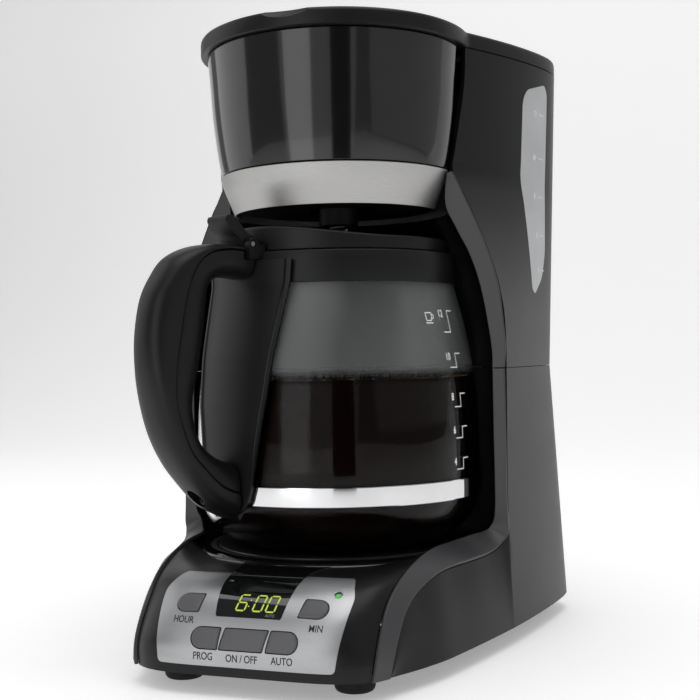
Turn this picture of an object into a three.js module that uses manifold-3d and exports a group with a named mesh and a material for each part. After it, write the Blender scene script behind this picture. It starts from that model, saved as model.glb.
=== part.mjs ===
// Twelve-cup drip coffee maker. Millimetres, +Z up, the front faces -Y.
// Origin: on the jug's axis, at the height of the feet's undersides.
import * as THREE from 'three';
import { mergeVertices } from 'three/addons/utils/BufferGeometryUtils.js';
import Module from 'manifold-3d';

const wasm = await Module();
wasm.setup();

// ---------------------------------------------------------------- driving dimensions
const WALL = 2.6;              // moulded housing wall
const GAP = 0.3;               // clearance between neighbouring pieces
const FOOT_HEIGHT = 9;         // rubber foot, from the counter to the lower edge of the base
const SEAM_Z = 143.5;          // joint between the base moulding and the column moulding
const COLUMN_TOP_Z = 313.6;    // upper edge of the column, under the lid
const LID_TOP_Z = 322.7;       // top face of the lid
const DECK_Z = 50;             // deck in front of the warming plate
const REAR_FULL_Y = 90;        // where the body is widest
const BREW_Y = 6;              // the brew cone's axis sits this far behind the jug's axis
const HANDLE_TURN = -25;       // degrees, the jug's handle points a little to the left
const HINGE = { y: 122, z: 318.6, barrel: 4.7, pin: 1.6, bore: 2 };
const ROUND = 32;              // facets round the large turned pieces
const ROUND_INSIDE = 24;       // facets round the turned pieces that the housing hides

// Half widths and rear depth of the body at three heights, and the line of the wings' front edge.
const REAR_HALF_WIDTH = [[FOOT_HEIGHT, 106.2], [SEAM_Z, 98.7], [COLUMN_TOP_Z, 104.5]];
const REAR_DEPTH = [[FOOT_HEIGHT, 129], [SEAM_Z, 123.5], [COLUMN_TOP_Z, 127.5]];
const WING_FRONT = [[FOOT_HEIGHT, 0], [234, 0], [COLUMN_TOP_Z, 8]];
const WING_HALF_WIDTH = [
  [FOOT_HEIGHT, 95.4], [75, 93], [158, 93.5], [184, 91], [202, 86], [218, 80],
  [234, 73], [248, 66], [260, 67.5], [292, 72], [COLUMN_TOP_Z, 72.6],
];

// The bay that holds the jug, turned about the jug's axis: deck, wall and bell-shaped ceiling.
const BAY_PROFILE = [
  [0, DECK_Z], [70, DECK_Z], [78, 53], [83, 60], [86, 70], [86, 150],
  [84, 169], [80, 187], [74, 205], [67, 219], [62, 228], [0, 228],
];

// The front of the base, from the lower front edge up the control panel and back over the deck.
// Each row: the foot of the side wall, the outer and inner edge of the border strip, the middle.
const FRONT_ROWS = [
  { foot: [62.5, -111.5, 9], outer: [62.5, -111.5, 10], inner: [57, -120.5, 10], middle: [0, -129, 10] },
  { foot: [64.5, -107, 9], outer: [63.8, -105.5, 22], inner: [58, -116.5, 22], middle: [0, -128.4, 22] },
  { foot: [68.5, -98.5, 9], outer: [64.8, -96, 34], inner: [58.8, -108, 34], middle: [0, -123.6, 34] },
  { foot: [74, -86.5, 9], outer: [67, -83, 42], inner: [59.8, -94, 45], middle: [0, -113, 44] },
  { foot: [79.5, -71, 9], outer: [70.5, -70, 46], inner: [61.5, -76, 51.5], middle: [0, -100, 50] },
  { foot: [84, -54, 9], outer: [75, -52, 47.5], inner: [64.5, -54, 54], middle: [0, -72, DECK_Z] },
  { foot: [89.5, -28, 9], outer: [82.5, -27, 48.5], inner: [70.5, -28, 55.5], middle: [0, -40, DECK_Z] },
  { foot: [94.6, -4, 9], outer: [91.2, -3, 55], inner: [81, -3, 57], middle: [0, -3, DECK_Z] },
];
const CROWN_POWER = 6;         // the panel is nearly flat and turns sharply near its border

// The jug: outside of the glass, turned about the jug's axis.
const GLASS_WALL = 2.4;
const GLASS_PROFILE = [
  [0, 52.4], [50, 52.4], [60, 55.4], [68, 62], [73.5, 71], [75.9, 83], [76, 107],
  [75.1, 128], [72.6, 149], [68.4, 170], [63.2, 190], [61.6, 197], [61.4, 203],
];
const BAND_Z = [78, 87.8];
const COLLAR_Z = [188, 204];

// The brew cone, turned about its own axis.
const CONE_PROFILE = [[63.2, 248.9], [65.2, 260], [67.6, 280], [69, 300], [70, COLUMN_TOP_Z]];
const BAND_PROFILE = [[55.4, 228.2], [58, 234.5], [60.8, 241.5], [63.1, 248.4]];

// ---------------------------------------------------------------- materials
function finish(color, roughness, metalness = 0, opacity = 1) {
  const transparent = opacity < 1;
  return new THREE.MeshStandardMaterial({ color, roughness, metalness, opacity, transparent });
}
const satinBlack = finish(0x1d1d1e, 0.5);
const pianoBlack = finish(0x0a0a0b, 0.12);
const borderGrey = finish(0x47474a, 0.45);
const innerBlack = finish(0x141415, 0.6);
const brushedSteel = finish(0xb9b9b7, 0.35, 1);
const silverPanel = finish(0xb4b5b6, 0.4, 0.6);
const chrome = finish(0xe4e4e4, 0.08, 1);
const jugGlass = finish(0xdfe6e6, 0.03, 0, 0.3);
const smokedWindow = finish(0x0c0d0d, 0.08);
const clearWindow = finish(0x5b6062, 0.1, 0, 0.5);
const buttonGrey = finish(0x6d6d70, 0.42);
const rubberBlack = finish(0x101010, 0.85);
const siliconeWhite = finish(0xd8d6cf, 0.6);
const castAluminium = finish(0x9a9b9c, 0.55, 0.8);
const platedSteel = finish(0xa6a7a8, 0.35, 1);
const tankPlastic = finish(0x8f9394, 0.4, 0, 0.5);
const boardGreen = finish(0x1c4a2c, 0.55);
const lampGreen = finish(0x2f8f3c, 0.2);

// ---------------------------------------------------------------- solids
function signedVolume(position, triangles) {
  const [a, b, c] = [new THREE.Vector3(), new THREE.Vector3(), new THREE.Vector3()];
  let volume = 0;
  for (let i = 0; i < triangles.length; i += 3) {
    a.fromBufferAttribute(position, triangles[i]);
    b.fromBufferAttribute(position, triangles[i + 1]);
    c.fromBufferAttribute(position, triangles[i + 2]);
    volume += a.dot(b.cross(c)) / 6;
  }
  return volume;
}

// A closed three.js geometry becomes a solid, with its faces pointing out.
function solid(geometry) {
  const bare = new THREE.BufferGeometry();
  bare.setAttribute('position', geometry.getAttribute('position'));
  if (geometry.index) bare.setIndex(geometry.index);
  const welded = mergeVertices(bare, 1e-4);
  const triangles = [];
  const index = welded.index.array;
  for (let i = 0; i < index.length; i += 3) {
    const [a, b, c] = [index[i], index[i + 1], index[i + 2]];
    if (a !== b && b !== c && c !== a) triangles.push(a, b, c);
  }
  const position = welded.getAttribute('position');
  if (signedVolume(position, triangles) < 0) triangles.reverse();
  return new wasm.Manifold(new wasm.Mesh({
    numProp: 3,
    vertProperties: new Float32Array(position.array),
    triVerts: new Uint32Array(triangles),
  }));
}

function union(...solids) {
  return solids.reduce((whole, piece) => whole.add(piece));
}

function block([x0, x1], [y0, y1], [z0, z1]) {
  const geometry = new THREE.BoxGeometry(x1 - x0, y1 - y0, z1 - z0);
  return solid(geometry.translate((x0 + x1) / 2, (y0 + y1) / 2, (z0 + z1) / 2));
}

// A profile of [radius, height] points turned about a vertical axis.
function turned(profile, { x = 0, y = 0, segments = ROUND } = {}) {
  const closed = profile[0][0] === 0 ? profile : [...profile, profile[0]];
  const points = closed.map(([radius, height]) => new THREE.Vector2(radius, height));
  const geometry = new THREE.LatheGeometry(points, segments);
  return solid(geometry.rotateX(Math.PI / 2).translate(x, y, 0));
}

// A flat-ended round bar between two heights.
function post(radius, [z0, z1], place) {
  return turned([[0, z0], [radius, z0], [radius, z1], [0, z1]], { segments: 16, ...place });
}

// A round bar lying along a direction, starting at a point.
function rod(radius, length, start, direction, segments = 16) {
  const geometry = new THREE.CylinderGeometry(radius, radius, length, segments);
  geometry.translate(0, length / 2, 0);
  const turn = new THREE.Quaternion();
  turn.setFromUnitVectors(new THREE.Vector3(0, 1, 0), direction.clone().normalize());
  return solid(geometry.applyQuaternion(turn).translate(start.x, start.y, start.z));
}

// An outline in the XY plane raised between two heights.
function raised(outline, [z0, z1]) {
  const shape = new THREE.Shape(outline.map(([x, y]) => new THREE.Vector2(x, y)));
  const geometry = new THREE.ExtrudeGeometry(shape, { depth: z1 - z0, bevelEnabled: false });
  return solid(geometry.translate(0, 0, z0));
}

// An outline in the XZ plane, as seen from the front, run between two depths.
function seenFromFront(outline, [y0, y1]) {
  const shape = new THREE.Shape(outline.map(([x, z]) => new THREE.Vector2(x, z)));
  const geometry = new THREE.ExtrudeGeometry(shape, { depth: y1 - y0, bevelEnabled: false });
  return solid(geometry.rotateX(Math.PI / 2).translate(0, y1, 0));
}

// An outline in the YZ plane, as seen from the side, run between two widths.
function seenFromSide(outline, [x0, x1]) {
  const shape = new THREE.Shape(outline.map(([y, z]) => new THREE.Vector2(y, z)));
  const geometry = new THREE.ExtrudeGeometry(shape, { depth: x1 - x0, bevelEnabled: false });
  return solid(geometry.rotateX(Math.PI / 2).rotateZ(Math.PI / 2).translate(x0, 0, 0));
}

// A skin through loops with the same number of points, closed by a flat cap at each end.
function lofted(loops) {
  const count = loops[0].length;
  const positions = loops.flat(2);
  const triangles = [];
  for (let i = 0; i + 1 < loops.length; i += 1) {
    for (let j = 0; j < count; j += 1) {
      const [a, b] = [i * count + j, i * count + (j + 1) % count];
      triangles.push(a, b, b + count, a, b + count, a + count);
    }
  }
  for (const [loop, first, flipped] of [[loops[0], 0, true], [loops.at(-1), positions.length / 3 - count, false]]) {
    for (const cap of capTriangles(loop)) {
      const corners = flipped ? [cap[2], cap[1], cap[0]] : cap;
      triangles.push(...corners.map((corner) => corner + first));
    }
  }
  const geometry = new THREE.BufferGeometry();
  geometry.setAttribute('position', new THREE.Float32BufferAttribute(positions, 3));
  geometry.setIndex(triangles);
  return solid(geometry);
}

// Flat triangles over a loop, found in whichever plane the loop covers the most area.
function capTriangles(loop) {
  const area = (u, v) => loop.reduce((sum, point, i) => {
    const next = loop[(i + 1) % loop.length];
    return sum + (point[u] * next[v] - next[u] * point[v]) / 2;
  }, 0);
  const planes = [[0, 1], [1, 2], [2, 0]];
  const [u, v] = planes.reduce((best, plane) => (Math.abs(area(...plane)) > Math.abs(area(...best)) ? plane : best));
  const flat = loop.map((point) => new THREE.Vector2(point[u], point[v]));
  const turnedRound = area(u, v) < 0;
  const order = flat.map((_, i) => i);
  if (turnedRound) order.reverse();
  const faces = THREE.ShapeUtils.triangulateShape(order.map((i) => flat[i]), []);
  return faces.map((face) => {
    const corners = face.map((i) => order[i]);
    return turnedRound ? corners.reverse() : corners;
  });
}

// A hollow hose or tube through a few points.
function hose(points, outerRadius, innerRadius, steps, curveSegments = 4) {
  const shape = new THREE.Shape().absarc(0, 0, outerRadius, 0, Math.PI * 2);
  if (innerRadius > 0) shape.holes.push(new THREE.Path().absarc(0, 0, innerRadius, 0, Math.PI * 2));
  const path = new THREE.CatmullRomCurve3(points.map((point) => new THREE.Vector3(...point)));
  const geometry = new THREE.ExtrudeGeometry(shape, { extrudePath: path, steps, curveSegments });
  return solid(geometry);
}

// A straight-line reading of a table of [height, value] rows.
function readAt(table, height) {
  const last = table.length - 1;
  if (height <= table[0][0]) return table[0][1];
  if (height >= table[last][0]) return table[last][1];
  const upper = table.findIndex((row) => row[0] > height);
  const [[z0, value0], [z1, value1]] = [table[upper - 1], table[upper]];
  return THREE.MathUtils.mapLinear(height, z0, z1, value0, value1);
}

// A profile moved out along its own normals, keeping its ends on the axis.
function offsetProfile(profile, distance) {
  return profile.map(([radius, height], i) => {
    const [r0, z0] = profile[Math.max(i - 1, 0)];
    const [r1, z1] = profile[Math.min(i + 1, profile.length - 1)];
    const length = Math.hypot(r1 - r0, z1 - z0);
    const moved = [radius + distance * (z1 - z0) / length, height - distance * (r1 - r0) / length];
    return radius === 0 ? [0, moved[1]] : moved;
  });
}

// ---------------------------------------------------------------- scene graph
const machine = new THREE.Group();
const bodies = {};
for (const name of ['root', 'lid', 'basket', 'valve', 'carafe', 'carafe_lid', 'buttons']) {
  bodies[name] = new THREE.Group();
  machine.add(bodies[name]);
}

function add(name, body, shape, material) {
  const { vertProperties, triVerts } = shape.getMesh();
  const geometry = new THREE.BufferGeometry();
  geometry.setAttribute('position', new THREE.BufferAttribute(vertProperties, 3));
  geometry.setIndex(new THREE.BufferAttribute(triVerts, 1));
  geometry.computeVertexNormals();
  const mesh = new THREE.Mesh(geometry, material);
  mesh.name = name;
  bodies[body].add(mesh);
  return mesh;
}

// ---------------------------------------------------------------- outer body
// Plan of the body behind the wings' front edge at one height, drawn in by an inset.
function bodyLoop(z, inset) {
  const front = readAt(WING_FRONT, z) + inset;
  const wing = readAt(WING_HALF_WIDTH, z) - inset;
  const widest = readAt(REAR_HALF_WIDTH, z) - inset;
  const depth = readAt(REAR_DEPTH, z) - inset - REAR_FULL_Y;
  const half = [];
  for (const v of [0, 0.15, 0.4, 0.7, 1]) {
    const swell = 1 - (1 - v) ** 1.45;
    half.push([wing + (widest - wing) * swell, front + v * (REAR_FULL_Y - front)]);
  }
  const cornerSteps = 5;
  for (let i = 1; i <= cornerSteps; i += 1) {
    const angle = (i / cornerSteps) * Math.PI / 2;
    half.push([widest * Math.max(Math.cos(angle), 0) ** (2 / 3), REAR_FULL_Y + depth * Math.sin(angle) ** (2 / 3)]);
  }
  half[half.length - 1][0] = 0;
  const mirrored = half.slice(0, -1).reverse().map(([x, y]) => [-x, y]);
  return [...half, ...mirrored].map(([x, y]) => [x, y, z]);
}

function bodySolid(heights, inset) {
  return lofted(heights.map((z) => bodyLoop(z, inset)));
}

// One cross-row of the base's front, moved in along the panel's normal by an inset.
function frontLoop(index, inset) {
  const row = FRONT_ROWS[index];
  const before = FRONT_ROWS[Math.max(index - 1, 0)].middle;
  const after = FRONT_ROWS[Math.min(index + 1, FRONT_ROWS.length - 1)].middle;
  const length = Math.hypot(after[1] - before[1], after[2] - before[2]);
  const normal = [(after[2] - before[2]) / length, (after[1] - before[1]) / length];
  const moveIn = ([x, y, z]) => [x, y + normal[0] * inset, z - normal[1] * inset];
  const across = [0.95, 0.88, 0.75, 0.5].map((f) => row.inner.map((value, axis) => {
    if (axis === 0) return value * f;
    return row.middle[axis] + (value - row.middle[axis]) * f ** CROWN_POWER;
  }));
  const foot = [row.foot[0] - inset, row.foot[1] + (index === 0 ? inset : 0), row.foot[2]];
  const outer = moveIn([row.outer[0] - inset, row.outer[1], row.outer[2]]);
  const half = [foot, outer, moveIn(row.inner), ...across.map(moveIn)];
  const mirrored = [...half].reverse().map(([x, y, z]) => [-x, y, z]);
  return [...half, moveIn(row.middle), ...mirrored];
}

function frontSolid(inset, floorZ) {
  const loops = FRONT_ROWS.map((_, index) => frontLoop(index, inset));
  loops[0] = loops[0].map(([x, y]) => [x, y, floorZ]);
  const lowered = loops.map((loop) => loop.map(([x, y, z]) => [x, y, z === FOOT_HEIGHT ? floorZ : z]));
  const back = lowered.at(-1).map(([x, , z]) => [x, 4, z]);
  return lofted([...lowered, back]);
}

const baseHeights = [FOOT_HEIGHT, 75, SEAM_Z - GAP / 2];
const columnHeights = [
  SEAM_Z + GAP / 2, 158, 184, 202, 218, 234, 248, 260, 292, COLUMN_TOP_Z,
];
const bay = turned(BAY_PROFILE, { segments: ROUND });
const bayBack = turned(offsetProfile(BAY_PROFILE, WALL), { segments: ROUND });
const bayBackClear = turned(offsetProfile(BAY_PROFILE, WALL + GAP), { segments: ROUND });

// Room for the brew cone, and the inside of the base and column.
const coneRoom = turned([
  [0, 227.5], [57, 227.5], [64, 248.6], [66, 260], [68.3, 280], [69.7, 300], [70.7, 316], [0, 316],
], { y: BREW_Y, segments: ROUND });
const baseOuter = union(
  bodySolid(baseHeights, 0),
  frontSolid(0, FOOT_HEIGHT),
).subtract(bay);
const baseInside = union(
  bodySolid([FOOT_HEIGHT - 1, 75, SEAM_Z + 1], WALL),
  frontSolid(WALL, FOOT_HEIGHT - 1),
  block([-90, 90], [-6, 6], [FOOT_HEIGHT - 1, 44]),
).subtract(bayBack);
const baseShell = baseOuter.subtract(baseInside);

// The frame takes everything inside the border strip's outer edge, the housing takes the rest.
function frameRegion(margin) {
  const edge = FRONT_ROWS.map(({ outer }) => [outer[0] + margin, outer[1]]);
  const front = [[62.5 + margin, -135], ...edge, [91.2 + margin, 0], [91.2 + margin, 1]];
  const mirrored = [...front].reverse().map(([x, y]) => [-x, y]);
  return union(
    raised([...front, ...mirrored], [0, 58]),
    block([-110, 110], [-1, WALL + margin], [54 - margin, SEAM_Z + 1]),
    margin > 0 ? bayBackClear : bayBack,
  );
}

// Control panel: outlines seen from the front, cut square to the panel.
const PANEL_OUTLINE = [[-42.8, 13.6], [42.8, 13.6], [46.9, 44], [43.5, 49.3], [-43.5, 49.3], [-46.9, 44]];
const PANEL_SHEET = 1.2;
const DISPLAY = { bottom: 15.9, top: 18.7, low: 34.6, high: 48.6 };
const TILT_LOW = THREE.MathUtils.degToRad(72);
const TILT_HIGH = THREE.MathUtils.degToRad(44);
const BUTTONS = [
  { name: 'button_program', x: -19.3, y: -127, z: 25.6, width: 13.2, tilt: TILT_LOW, round: -1 },
  { name: 'button_power', x: -0.3, y: -127, z: 25.6, width: 20.8, tilt: TILT_LOW, round: 0 },
  { name: 'button_auto', x: 18.9, y: -127, z: 25.6, width: 13.6, tilt: TILT_LOW, round: 1 },
  { name: 'button_hour', x: -31, y: -118, z: 39.4, width: 12, tilt: TILT_HIGH, round: -1 },
  { name: 'button_minute', x: 31, y: -118, z: 39.4, width: 12, tilt: TILT_HIGH, round: 1 },
];
const BUTTON_HEIGHT = 9.4;

// A button's outline: one end round where it faces the panel's edge, the others slanted.
function buttonOutline({ width, round }, sides, ends = sides) {
  const [w, h, slant] = [width / 2 + sides, BUTTON_HEIGHT / 2 + ends, 1.2];
  const shape = new THREE.Shape();
  const arc = (centre, from, to) => shape.absarc(centre, 0, h, from, to, false);
  shape.moveTo(round < 0 ? -w + h : -w - slant, -h);
  if (round > 0) {
    shape.lineTo(w - h, -h);
    arc(w - h, -Math.PI / 2, Math.PI / 2);
  } else {
    shape.lineTo(w - slant, -h);
    shape.lineTo(w + slant, h);
  }
  if (round < 0) arc(-w + h, Math.PI / 2, 3 * Math.PI / 2);
  else shape.lineTo(-w + slant, h);
  return shape;
}

// A prism standing on the panel at a button's place, from one depth along the normal to another.
function onPanel(shape, { x, y, z, tilt }, [from, to]) {
  const geometry = new THREE.ExtrudeGeometry(shape, { depth: to - from, bevelEnabled: false, curveSegments: 5 });
  return solid(geometry.translate(0, 0, from).rotateX(tilt).translate(x, y, z));
}

const buttonHoles = union(...BUTTONS.map((button) => onPanel(buttonOutline(button, 0.4), button, [-7, 6])));
const buttonRoom = union(...BUTTONS.map((button) => onPanel(buttonOutline(button, 0.4, 1.6), button, [-12, -WALL + 0.6])));
const displayOutline = (grow) => [
  [-DISPLAY.bottom - grow, DISPLAY.low - grow], [DISPLAY.bottom + grow, DISPLAY.low - grow],
  [DISPLAY.top + grow, DISPLAY.high + grow], [-DISPLAY.top - grow, DISPLAY.high + grow],
];
const displayCut = seenFromFront(displayOutline(0), [-135, -92]);
const panelCut = seenFromFront(PANEL_OUTLINE, [-135, -92]);
const panelRecess = panelCut.subtract(frontSolid(PANEL_SHEET + GAP, FOOT_HEIGHT));
const LAMP_TOP = new THREE.Vector3(39.5, -109, 50);
const INTO_PANEL = new THREE.Vector3(0, 0.42, -0.91);
const lampHole = rod(2, 12, LAMP_TOP, INTO_PANEL);

const PLATE_RADIUS = 66;
const SEAL_RADIUS = 70.2;
const deckHole = post(SEAL_RADIUS + 2 * GAP, [40, 60], { segments: ROUND });
const frameLower = baseShell.intersect(frameRegion(0))
  .subtract(deckHole).subtract(panelRecess).subtract(buttonHoles).subtract(buttonRoom)
  .subtract(seenFromFront(displayOutline(-2), [-135, -92])).subtract(lampHole);
add('bay_frame_lower', 'root', frameLower, borderGrey);

const GLAND = { x: -38, y: 128, z: 26 };
const glandHole = rod(6.4, 14, new THREE.Vector3(GLAND.x, GLAND.y - 9, GLAND.z), new THREE.Vector3(0, 1, 0));
add('base_housing', 'root', baseShell.subtract(frameRegion(GAP)).subtract(glandHole), satinBlack);

// Column: the outer skin, and the upper frame with the border strips and the bay's ceiling.
const columnOuter = bodySolid(columnHeights, 0);
const columnInside = bodySolid([SEAM_Z - 1, ...columnHeights.slice(1, -1), COLUMN_TOP_Z + 1], WALL);
const stripTop = 248.4;
const stripSlab = (margin) => block([-110, 110], [-1, WALL + margin], [SEAM_Z - 1, stripTop + margin]);
const windowOutline = (grow) => [
  [53 - grow, 186 - grow], [58 - grow, 184 - grow], [73, 194 - grow], [79 + grow, 208], [80.5 + grow, 300],
  [77, 305 + grow], [57 - grow, 299 + grow], [53 - grow, 293],
];
const frameUpper = columnOuter.intersect(union(bayBack, stripSlab(0))).subtract(bay).subtract(coneRoom);
add('bay_frame_upper', 'root', frameUpper, borderGrey);
const columnHousing = columnOuter.subtract(columnInside).subtract(bayBackClear)
  .subtract(stripSlab(GAP)).subtract(coneRoom)
  .subtract(seenFromSide(windowOutline(GAP), [80, 115]));
add('column_housing', 'root', columnHousing, satinBlack);
const windowPane = columnOuter.subtract(bodySolid(columnHeights, 2.2)).intersect(seenFromSide(windowOutline(0), [80, 115]));
add('water_window', 'root', windowPane, clearWindow);

// ---------------------------------------------------------------- brew cone and its inside
function ring(profile, thickness, segments = ROUND) {
  const inner = profile.map(([radius, height]) => [radius - thickness, height]).reverse();
  return turned([...profile, ...inner], { y: BREW_Y, segments });
}
const frontHalf = block([-90, 90], [-90, -GAP], [220, 320]);
add('brew_cone_shell', 'root', ring(CONE_PROFILE, 2.4).intersect(frontHalf), pianoBlack);
add('cone_steel_band', 'root', ring(BAND_PROFILE, 1).intersect(frontHalf), brushedSteel);

const brewHousing = turned([
  [16, 230.5], [52, 230.5], [58, 249], [65, 298], [66.2, 300], [66.2, 302], [63.2, 302], [63, 298],
  [56, 249.6], [50.6, 232.5], [16, 232.5],
], { y: BREW_Y, segments: ROUND_INSIDE });
add('brew_housing', 'root', brewHousing, innerBlack);

// Top rim under the lid, with the brew opening, the filling opening and the lid's hinge lugs.
const columnTopLoop = (inset) => bodyLoop(COLUMN_TOP_Z, inset).map(([x, y]) => [x, y]);
const RIM_Z = [307.5, 310];
const HINGE_LUGS = [[-45, -39], [39, 45]];
const hingeLugs = HINGE_LUGS.map((span) => union(
  block(span, [HINGE.y - 4, HINGE.y + 1.4], [RIM_Z[0], HINGE.z]),
  rod(4, span[1] - span[0], new THREE.Vector3(span[0], HINGE.y, HINGE.z), new THREE.Vector3(1, 0, 0)),
));
const hingeBore = rod(HINGE.bore, 100, new THREE.Vector3(-50, HINGE.y, HINGE.z), new THREE.Vector3(1, 0, 0));
const topRim = union(
  raised(columnTopLoop(WALL + 1), RIM_Z),
  post(67, RIM_Z, { y: BREW_Y, segments: ROUND }),
).subtract(post(65.4, [300, 315], { y: BREW_Y, segments: ROUND }))
  .subtract(block([-82, 34], [86, 112], [300, 315]))
  .subtract(post(7.5, [300, 315], { x: 52, y: 100 }))
  .add(union(...hingeLugs)).subtract(hingeBore);
add('top_rim', 'root', topRim, satinBlack);
const hingePin = rod(HINGE.pin, 92, new THREE.Vector3(-46, HINGE.y, HINGE.z), new THREE.Vector3(1, 0, 0), 16);
add('lid_hinge_pin', 'root', hingePin, platedSteel);

// ---------------------------------------------------------------- water path
const TANK_Z = [158, 303];
const RISER = { x: 52, y: 100, radius: 5 };
const tankHeights = [TANK_Z[0], 184, 202, 218, 234, 248, 260, 292, TANK_Z[1]];
function tankSolid(inset, floor, ceiling) {
  const heights = [floor, ...tankHeights.slice(1, -1), ceiling];
  const shut = bodySolid(heights, WALL + 1.6 + inset);
  const bell = turned(offsetProfile(BAY_PROFILE, WALL + 2 + inset), { segments: ROUND_INSIDE });
  return shut.subtract(bell)
    .subtract(post(72 + inset, [150, 320], { y: BREW_Y, segments: ROUND_INSIDE }))
    .subtract(block([-110, 110], [-10, 26 + inset], [150, 320]))
    .subtract(post(RISER.radius + 2 + inset, [150, 320], RISER));
}
const TANK_OUTLET = { x: -36, y: 106 };
const tank = tankSolid(0, TANK_Z[0], TANK_Z[1]).subtract(tankSolid(2, TANK_Z[0] + 2, TANK_Z[1] + 2))
  .add(post(5, [150, 160], TANK_OUTLET)).subtract(post(3, [140, 165], TANK_OUTLET));
add('reservoir_tank', 'root', tank, tankPlastic);

const HEATER_Z = [33, 46];
function heaterOutline() {
  const shape = new THREE.Shape();
  const [open, closed] = [THREE.MathUtils.degToRad(115), THREE.MathUtils.degToRad(425)];
  shape.absarc(0, 0, 50, open, closed, false);
  shape.absarc(0, 0, 34, closed, open, true);
  return shape;
}
const heaterRing = new THREE.ExtrudeGeometry(heaterOutline(), {
  depth: HEATER_Z[1] - HEATER_Z[0], bevelEnabled: false, curveSegments: 20,
});
add('heater_element', 'root', solid(heaterRing.translate(0, 0, HEATER_Z[0])), castAluminium);
const heaterClip = union(
  block([-56, 56], [-6, 6], [30.5, 32.6]),
  block([-58, -56], [-6, 6], [30.5, 45.5]),
  block([56, 58], [-6, 6], [30.5, 45.5]),
);
add('heater_clip', 'root', heaterClip, platedSteel);
add('thermostat', 'root', union(post(8, [23, 30], { y: 0 }), post(10, [28.5, 30.2], { y: 0 })), innerBlack);
const fuse = rod(2.4, 22, new THREE.Vector3(-11, 30, 40), new THREE.Vector3(1, 0, 0), 12);
add('thermal_fuse', 'root', fuse, siliconeWhite);

const coldHose = [[-36, 106, 134], [-36, 106, 100], [-36, 105, 60], [-32, 92, 40], [-22, 70, 39.5], [-19.8, 49.5, 39.5]];
add('cold_water_hose', 'root', hose(coldHose, 5, 3, 14), siliconeWhite);
const checkValve = union(post(5.4, [134.4, 149.6], TANK_OUTLET), post(7.5, [139, 145], TANK_OUTLET))
  .subtract(post(3, [130, 155], { ...TANK_OUTLET, segments: 12 }));
add('check_valve', 'root', checkValve, innerBlack);
const riserPath = [
  [19.8, 49.5, 39.5], [24, 70, 39.5], [38, 88, 42], [50, 98, 58], [52, 100, 90], [52, 100, 180], [52, 100, 308],
];
add('hot_water_riser', 'root', hose(riserPath, RISER.radius, 3.2, 18), siliconeWhite);

// ---------------------------------------------------------------- warming plate
const plate = turned([
  [0, 51], [PLATE_RADIUS - 1, 51], [PLATE_RADIUS - 1, 47], [PLATE_RADIUS, 47], [PLATE_RADIUS, 51.4],
  [PLATE_RADIUS - 0.6, 52], [0, 52],
], { segments: ROUND });
add('warming_plate', 'root', plate, innerBlack);
const seal = turned([
  [PLATE_RADIUS + GAP, 46.5], [SEAL_RADIUS, 46.5], [SEAL_RADIUS, 50.6], [SEAL_RADIUS - 1, 51.6],
  [PLATE_RADIUS + GAP, 51.6],
], { segments: ROUND });
add('plate_seal', 'root', seal, rubberBlack);

// ---------------------------------------------------------------- underside
function baseOutline(inset) {
  const front = FRONT_ROWS.slice(0, -1).map(({ foot }) => [foot[0] - inset, foot[1] + (foot[1] < -105 ? inset : 0)]);
  const nose = [0.95, 0.75, 0.5].map((f) => [57 * f, -129 + 8.5 * f ** CROWN_POWER + inset]);
  const half = [[0, -129 + inset], ...nose.reverse(), [57 - inset * 0.7, -120.5 + inset * 0.8], ...front];
  const rear = bodyLoop(FOOT_HEIGHT, inset).map(([x, y]) => [x, y]).filter(([, y]) => y > 1);
  const left = half.slice(1).reverse().map(([x, y]) => [-x, y]);
  return [...half, ...rear, ...left];
}
const FEET = [[-43, -101], [43, -101], [-78, 96], [78, 96]];
const SCREWS = [[-54, -70], [54, -70], [-86, 70], [86, 70]];
const PLATE_Z = [FOOT_HEIGHT + GAP, FOOT_HEIGHT + 2.3];
let basePlate = raised(baseOutline(WALL + 1), PLATE_Z);
for (let i = -2; i <= 2; i += 1) {
  basePlate = basePlate.subtract(block([i * 14 - 2, i * 14 + 2], [-35, 35], [0, 20]));
}
for (const [x, y] of SCREWS) basePlate = basePlate.subtract(post(2.2, [0, 20], { x, y, segments: 12 }));
add('base_plate', 'root', basePlate, innerBlack);
FEET.forEach(([x, y], i) => {
  const foot = turned([[0, 0], [8.2, 0], [9.5, 1.5], [9.5, FOOT_HEIGHT], [0, FOOT_HEIGHT]], { x, y, segments: 16 });
  add(`foot_${i + 1}`, 'root', foot, rubberBlack);
});
SCREWS.forEach(([x, y], i) => {
  const screw = turned([[0, 7], [3.6, 7], [3.6, 9], [1.8, 9], [1.8, 22], [0, 22]], { x, y, segments: 10 });
  add(`base_screw_${i + 1}`, 'root', screw, platedSteel);
});
const gland = turned([
  [3.6, 0], [6, 0], [6, 8.1], [8, 8.1], [7.4, 8.9], [3.6, 8.9],
], { segments: 16 }).rotate([-90, 0, 0]).translate([GLAND.x, GLAND.y - 8, GLAND.z]);
add('cord_gland', 'root', gland, rubberBlack);
const powerBoard = union(
  block([-45, 45], [62, 108], [14, 15.6]),
  block([-40, -22], [66, 82], [15, 29]),
  block([5, 27], [84, 100], [15, 33]),
  post(6, [15, 30], { x: -10, y: 92 }),
);
add('power_board', 'root', powerBoard, boardGreen);

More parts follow.
